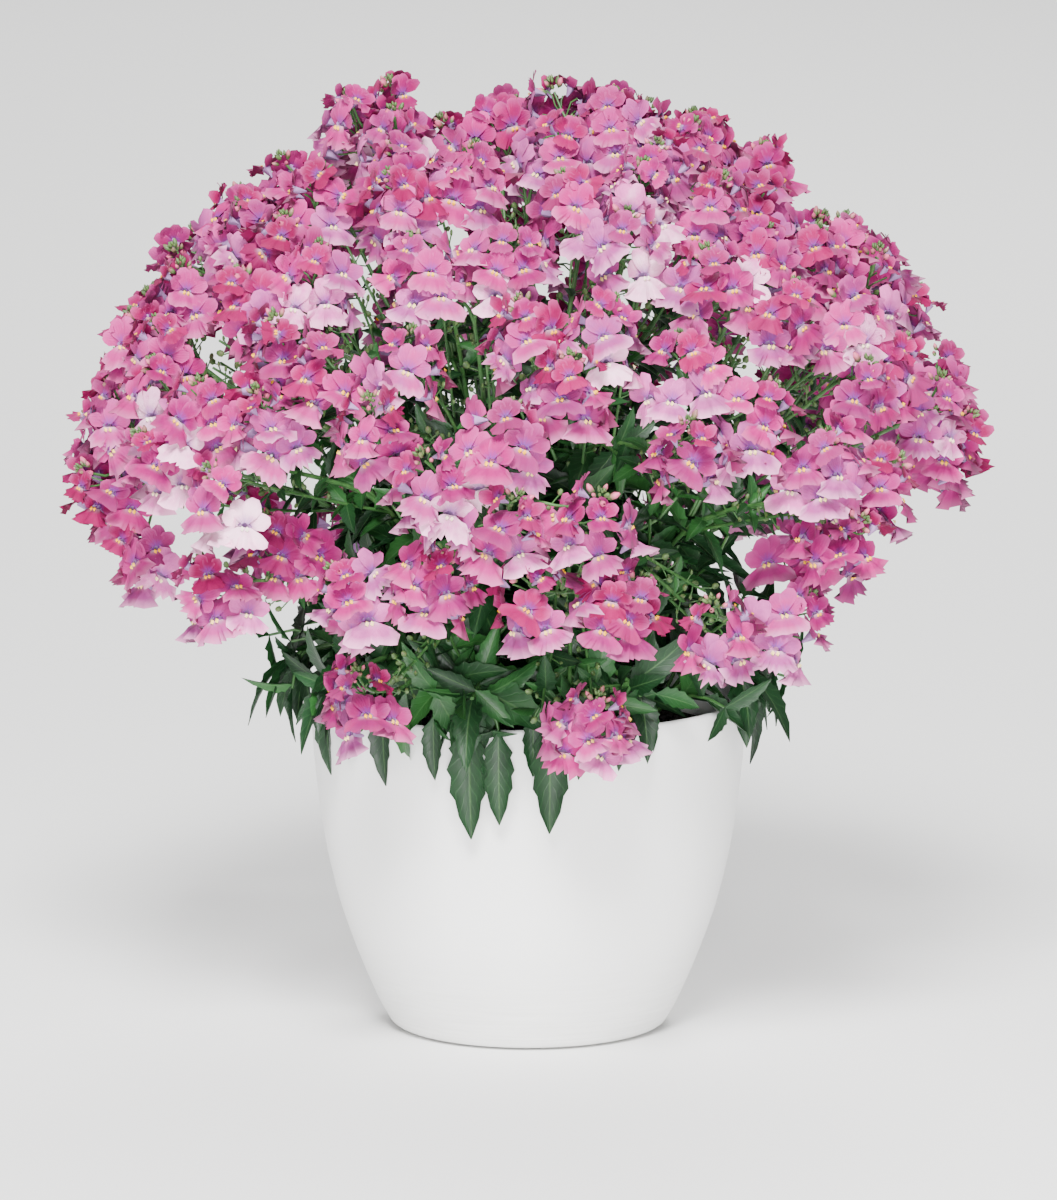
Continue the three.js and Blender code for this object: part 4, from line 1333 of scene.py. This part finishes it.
# %% Leaf finish
# The clouds of green are about 11 mm wide. The side veins slant forward, about eight to a side.
leaf, tree, shader = finish_named("nemesia_leaf_blade", Roughness=0.48, IOR=1.42)
across, along, _, age, where = read_spot(tree)
cloud = add(tree, "ShaderNodeTexNoise", {"Vector": where, "Scale": 90.0, "Detail": 4.0}).outputs[0]
half_age = add(tree, "ShaderNodeMath", {0: age, 1: 0.5}, operation="MULTIPLY").outputs[0]
depth = add(tree, "ShaderNodeMath", {0: cloud, 1: 0.5, 2: half_age}, operation="MULTIPLY_ADD").outputs[0]
green = add(tree, "ShaderNodeValToRGB", {0: depth},
            stops=[(0.2, "#0a2210"), (0.5, "#133819"), (0.8, "#285a26")]).outputs[0]
sideways = add(tree, "ShaderNodeMath", {0: across}, operation="ABSOLUTE").outputs[0]
rib = add(tree, "ShaderNodeMapRange", {"Value": sideways, "From Min": 0.1, "From Max": 0.01}).outputs[0]
slant = add(tree, "ShaderNodeMath", {0: sideways, 1: -0.3, 2: along}, operation="MULTIPLY_ADD").outputs[0]
spread = add(tree, "ShaderNodeMath", {0: slant, 1: 48.0}, operation="MULTIPLY").outputs[0]
wave = add(tree, "ShaderNodeMath", {0: spread}, operation="COSINE").outputs[0]
side_veins = add(tree, "ShaderNodeMapRange", {"Value": wave, "From Min": 0.72, "From Max": 1.0}).outputs[0]
leaf_colour = painted(tree, green, [(side_veins, 0.05, "#5a9a55"), (rib, 0.14, "#79a765")])
sunk = add(tree, "ShaderNodeMath", {0: rib, 1: -1.0}, operation="MULTIPLY").outputs[0]
relief = add(tree, "ShaderNodeMath", {0: side_veins, 1: -0.7, 2: sunk}, operation="MULTIPLY_ADD").outputs[0]
finish_off(tree, shader, leaf_colour, relief, strength=0.25, distance=0.0005)

# %% Bud and stem finishes
# A bud is mottled every 2.5 mm, and its tip turns pink as it ripens.
bud, tree, shader = finish_named("nemesia_bud_skin", Roughness=0.55)
_, along, _, age, where = read_spot(tree)
cloud = add(tree, "ShaderNodeTexNoise", {"Vector": where, "Scale": 400.0, "Detail": 2.0}).outputs[0]
green = add(tree, "ShaderNodeValToRGB", {0: cloud},
            stops=[(0.3, "#33492a"), (0.6, "#55703a"), (0.8, "#6d5a44")]).outputs[0]
tip = add(tree, "ShaderNodeMapRange", {"Value": along, "From Min": 0.3, "From Max": 0.75}).outputs[0]
ripe = add(tree, "ShaderNodeMapRange", {"Value": age, "From Min": 0.3, "From Max": 0.6}).outputs[0]
bud_colour = painted(tree, green, [(tip, ripe, "#c9567c")])
finish_off(tree, shader, bud_colour, cloud, strength=0.4, distance=0.0003)

# The fibres of a stem run up it, so their noise is drawn out in height: patterns per metre across and up.
FIBRES = (260, 260, 40)
stem, tree, shader = finish_named("nemesia_stem_skin", Roughness=0.5)
where = add(tree, "ShaderNodeTexCoord").outputs["Object"]
stretched = add(tree, "ShaderNodeMapping", {"Vector": where, "Scale": FIBRES}).outputs[0]
fibre = add(tree, "ShaderNodeTexNoise", {"Vector": stretched, "Scale": 1.0, "Detail": 3.0}).outputs[0]
skin = add(tree, "ShaderNodeValToRGB", {0: fibre},
           stops=[(0.25, "#264a22"), (0.55, "#3a6431"), (0.85, "#5f8049")]).outputs[0]
finish_off(tree, shader, skin, fibre, strength=0.4, distance=0.0003)
print("finishes:", petal.name, leaf.name, bud.name, stem.name)

# %% Grow the heads and the foliage
SHARED = {"Bud forms": bud_forms, "Bud scale": 1.0, "Stem sides": 5, "Stem thickness": 1.0,
          "Blade scale": 1.0, "Bud material": bud, "Stem material": stem}
for k, plan in enumerate(head_plans):
    piece = grown(f"nemesia_head_{k + 1:02d}", plan.mesh("head_plan"), growing,
                  {**SHARED, "Blade forms": flower_forms, "Blade material": petal})
    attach(piece, "root")
    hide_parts(f"flower_head_{k + 1:02d}")
for k, plan in enumerate(foliage_plans):
    piece = grown(f"nemesia_foliage_{k + 1:02d}", plan.mesh("foliage_plan"), growing,
                  {**SHARED, "Blade forms": leaf_forms, "Blade material": leaf})
    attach(piece, "root")
    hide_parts(f"leafy_stem_{k + 1:02d}")
print("last foliage piece:", len(piece.data.polygons), "faces")

# %% [markdown]
# ## Potting soil
# Potting soil is dark peat with crumbs up to a few millimetres across and paler bits of bark. Its
# body is a turned solid with a bumpy top, and the crumbs are scattered over that top by a second
# small tree, with a fixed seed.

# %% Soil body
# The soil's outline up to its edge, as radius and height. Its top rises to a low crown in the middle.
SOIL_PROFILE = [(0, 4.3), (51, 4.3), (60.6, 16), (75.6, 57), (84.3, 112), (84.3, 120)]
SOIL_RADIUS = 84.3
SOIL_CROWN = 2.5
CROWN_STEPS = 18
SOIL_SIDES = 90
# Where the top is bumpy, in metres, how many bumps there are to a metre, and their height.
BUMPY_ABOVE = 0.119
BUMPY_WITHIN = 0.083
BUMPS_PER_METRE = 90
BUMP_HEIGHT = 1.4
inward = [1 - k / CROWN_STEPS for k in range(CROWN_STEPS)]
soil_top = [(SOIL_RADIUS * share, SOIL_TOP - SOIL_CROWN * share) for share in inward]
soil = turned("potting_soil_bed", [*SOIL_PROFILE, *soil_top, (0, SOIL_TOP)], SOIL_SIDES)
for vertex in soil.data.vertices:
    place = vertex.co
    if place.z > BUMPY_ABOVE and math.hypot(place.x, place.y) < BUMPY_WITHIN:
        place.z += BUMP_HEIGHT * MM * noise.fractal(place * BUMPS_PER_METRE, 0.8, 2.2, 4)
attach(soil, "root")
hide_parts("soil")

soil_finish, tree, shader = finish_named("damp_peat_potting_soil", Roughness=0.9)
where = add(tree, "ShaderNodeTexCoord").outputs["Object"]
fine = add(tree, "ShaderNodeTexNoise", {"Vector": where, "Scale": 700.0, "Detail": 4.0}).outputs[0]
dark = add(tree, "ShaderNodeValToRGB", {0: fine},
           stops=[(0.3, "#150f0b"), (0.55, "#2a1e16"), (0.8, "#4a3726")]).outputs[0]
finish_off(tree, shader, dark, fine, strength=0.8, distance=0.0008)
soil.data.materials.append(soil_finish)

# %% Soil crumbs
# Crumbs: how many forms, how uneven their radius is and how flat they are. They lie on a shallow cone
# over the soil's top.
CRUMB_FORMS = 3
CRUMB_UNEVEN = (0.7, 1.15)
CRUMB_FLATNESS = 0.8
CRUMB_RADIUS = 82.5
RING_POINTS = 48
CRUMB_SEED = 8
SCATTER_SEED = 4
crumb_forms = bpy.data.collections.new("crumb_forms")
crumb_random = random.Random(CRUMB_SEED)
for k in range(CRUMB_FORMS):
    shape = bmesh.new()
    bmesh.ops.create_icosphere(shape, subdivisions=1, radius=0.5)
    for vertex in shape.verts:
        vertex.co *= crumb_random.uniform(*CRUMB_UNEVEN)
        vertex.co.z *= CRUMB_FLATNESS
    mesh = bpy.data.meshes.new(f"crumb_{k}")
    shape.to_mesh(mesh)
    shape.free()
    crumb_forms.objects.link(bpy.data.objects.new(f"crumb_{k}", mesh))

scattering, given = new_tree("scatter_crumbs", {
    "Crumb forms": "Collection", "Crumbs per square metre": "Float", "Smallest": "Float", "Largest": "Float",
    "Seed": "Int", "Material": "Material"})
points = add(scattering, "GeometryNodeDistributePointsOnFaces",
             {"Mesh": given["Geometry"], "Density": given["Crumbs per square metre"], "Seed": given["Seed"]})
forms = add(scattering, "GeometryNodeCollectionInfo",
            {"Collection": given["Crumb forms"], "Separate Children": True, "Reset Children": True})
spin = add(scattering, "FunctionNodeRandomValue", {"Max": (6.3, 6.3, 6.3), "Seed": given["Seed"]},
           data_type="FLOAT_VECTOR")
width = add(scattering, "FunctionNodeRandomValue",
            {"Min_001": given["Smallest"], "Max_001": given["Largest"], "Seed": given["Seed"]},
            data_type="FLOAT")
crumbs = add(scattering, "GeometryNodeInstanceOnPoints", {
    "Points": points.outputs[0], "Instance": forms.outputs[0], "Pick Instance": True,
    "Rotation": add(scattering, "FunctionNodeEulerToRotation", {0: spin.outputs[0]}).outputs[0],
    "Scale": width.outputs[1]})
real = add(scattering, "GeometryNodeRealizeInstances", {0: crumbs.outputs[0]})
add(scattering, "NodeGroupOutput", {0: finished(scattering, real.outputs[0], given["Material"])})

top_mesh = bpy.data.meshes.new("soil_top")
ring = [polar(math.tau * k / RING_POINTS, CRUMB_RADIUS, SOIL_TOP - SOIL_CROWN + 0.2) * MM
        for k in range(RING_POINTS)]
top_mesh.from_pydata([(0, 0, SOIL_TOP * MM), *[tuple(place) for place in ring]], [],
                     [(0, k + 1, (k + 1) % RING_POINTS + 1) for k in range(RING_POINTS)])
crumb_piece = grown("potting_soil_crumbs", top_mesh, scattering, {
    "Crumb forms": crumb_forms, "Crumbs per square metre": 90000.0, "Smallest": 0.8 * MM,
    "Largest": 3.4 * MM, "Seed": SCATTER_SEED, "Material": soil_finish})
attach(crumb_piece, "root")
print("crumbs:", len(crumb_piece.data.polygons), "faces")

# %% [markdown]
# ## Sizes, and the end
# The boxes of the solids and of the dressed plant are printed one after the other, with the count of
# triangles. The dressed plant may not grow out of the solids' box.

# %% Finish
dressed_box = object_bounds()
for label, (low, high) in (("solids", solid_box), ("dressed", dressed_box)):
    print(label, [round(x / MM, 1) for x in low], [round(x / MM, 1) for x in high])
triangles = sum(len(p.vertices) - 2 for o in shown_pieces() for p in o.data.polygons)
print("triangles:", triangles)
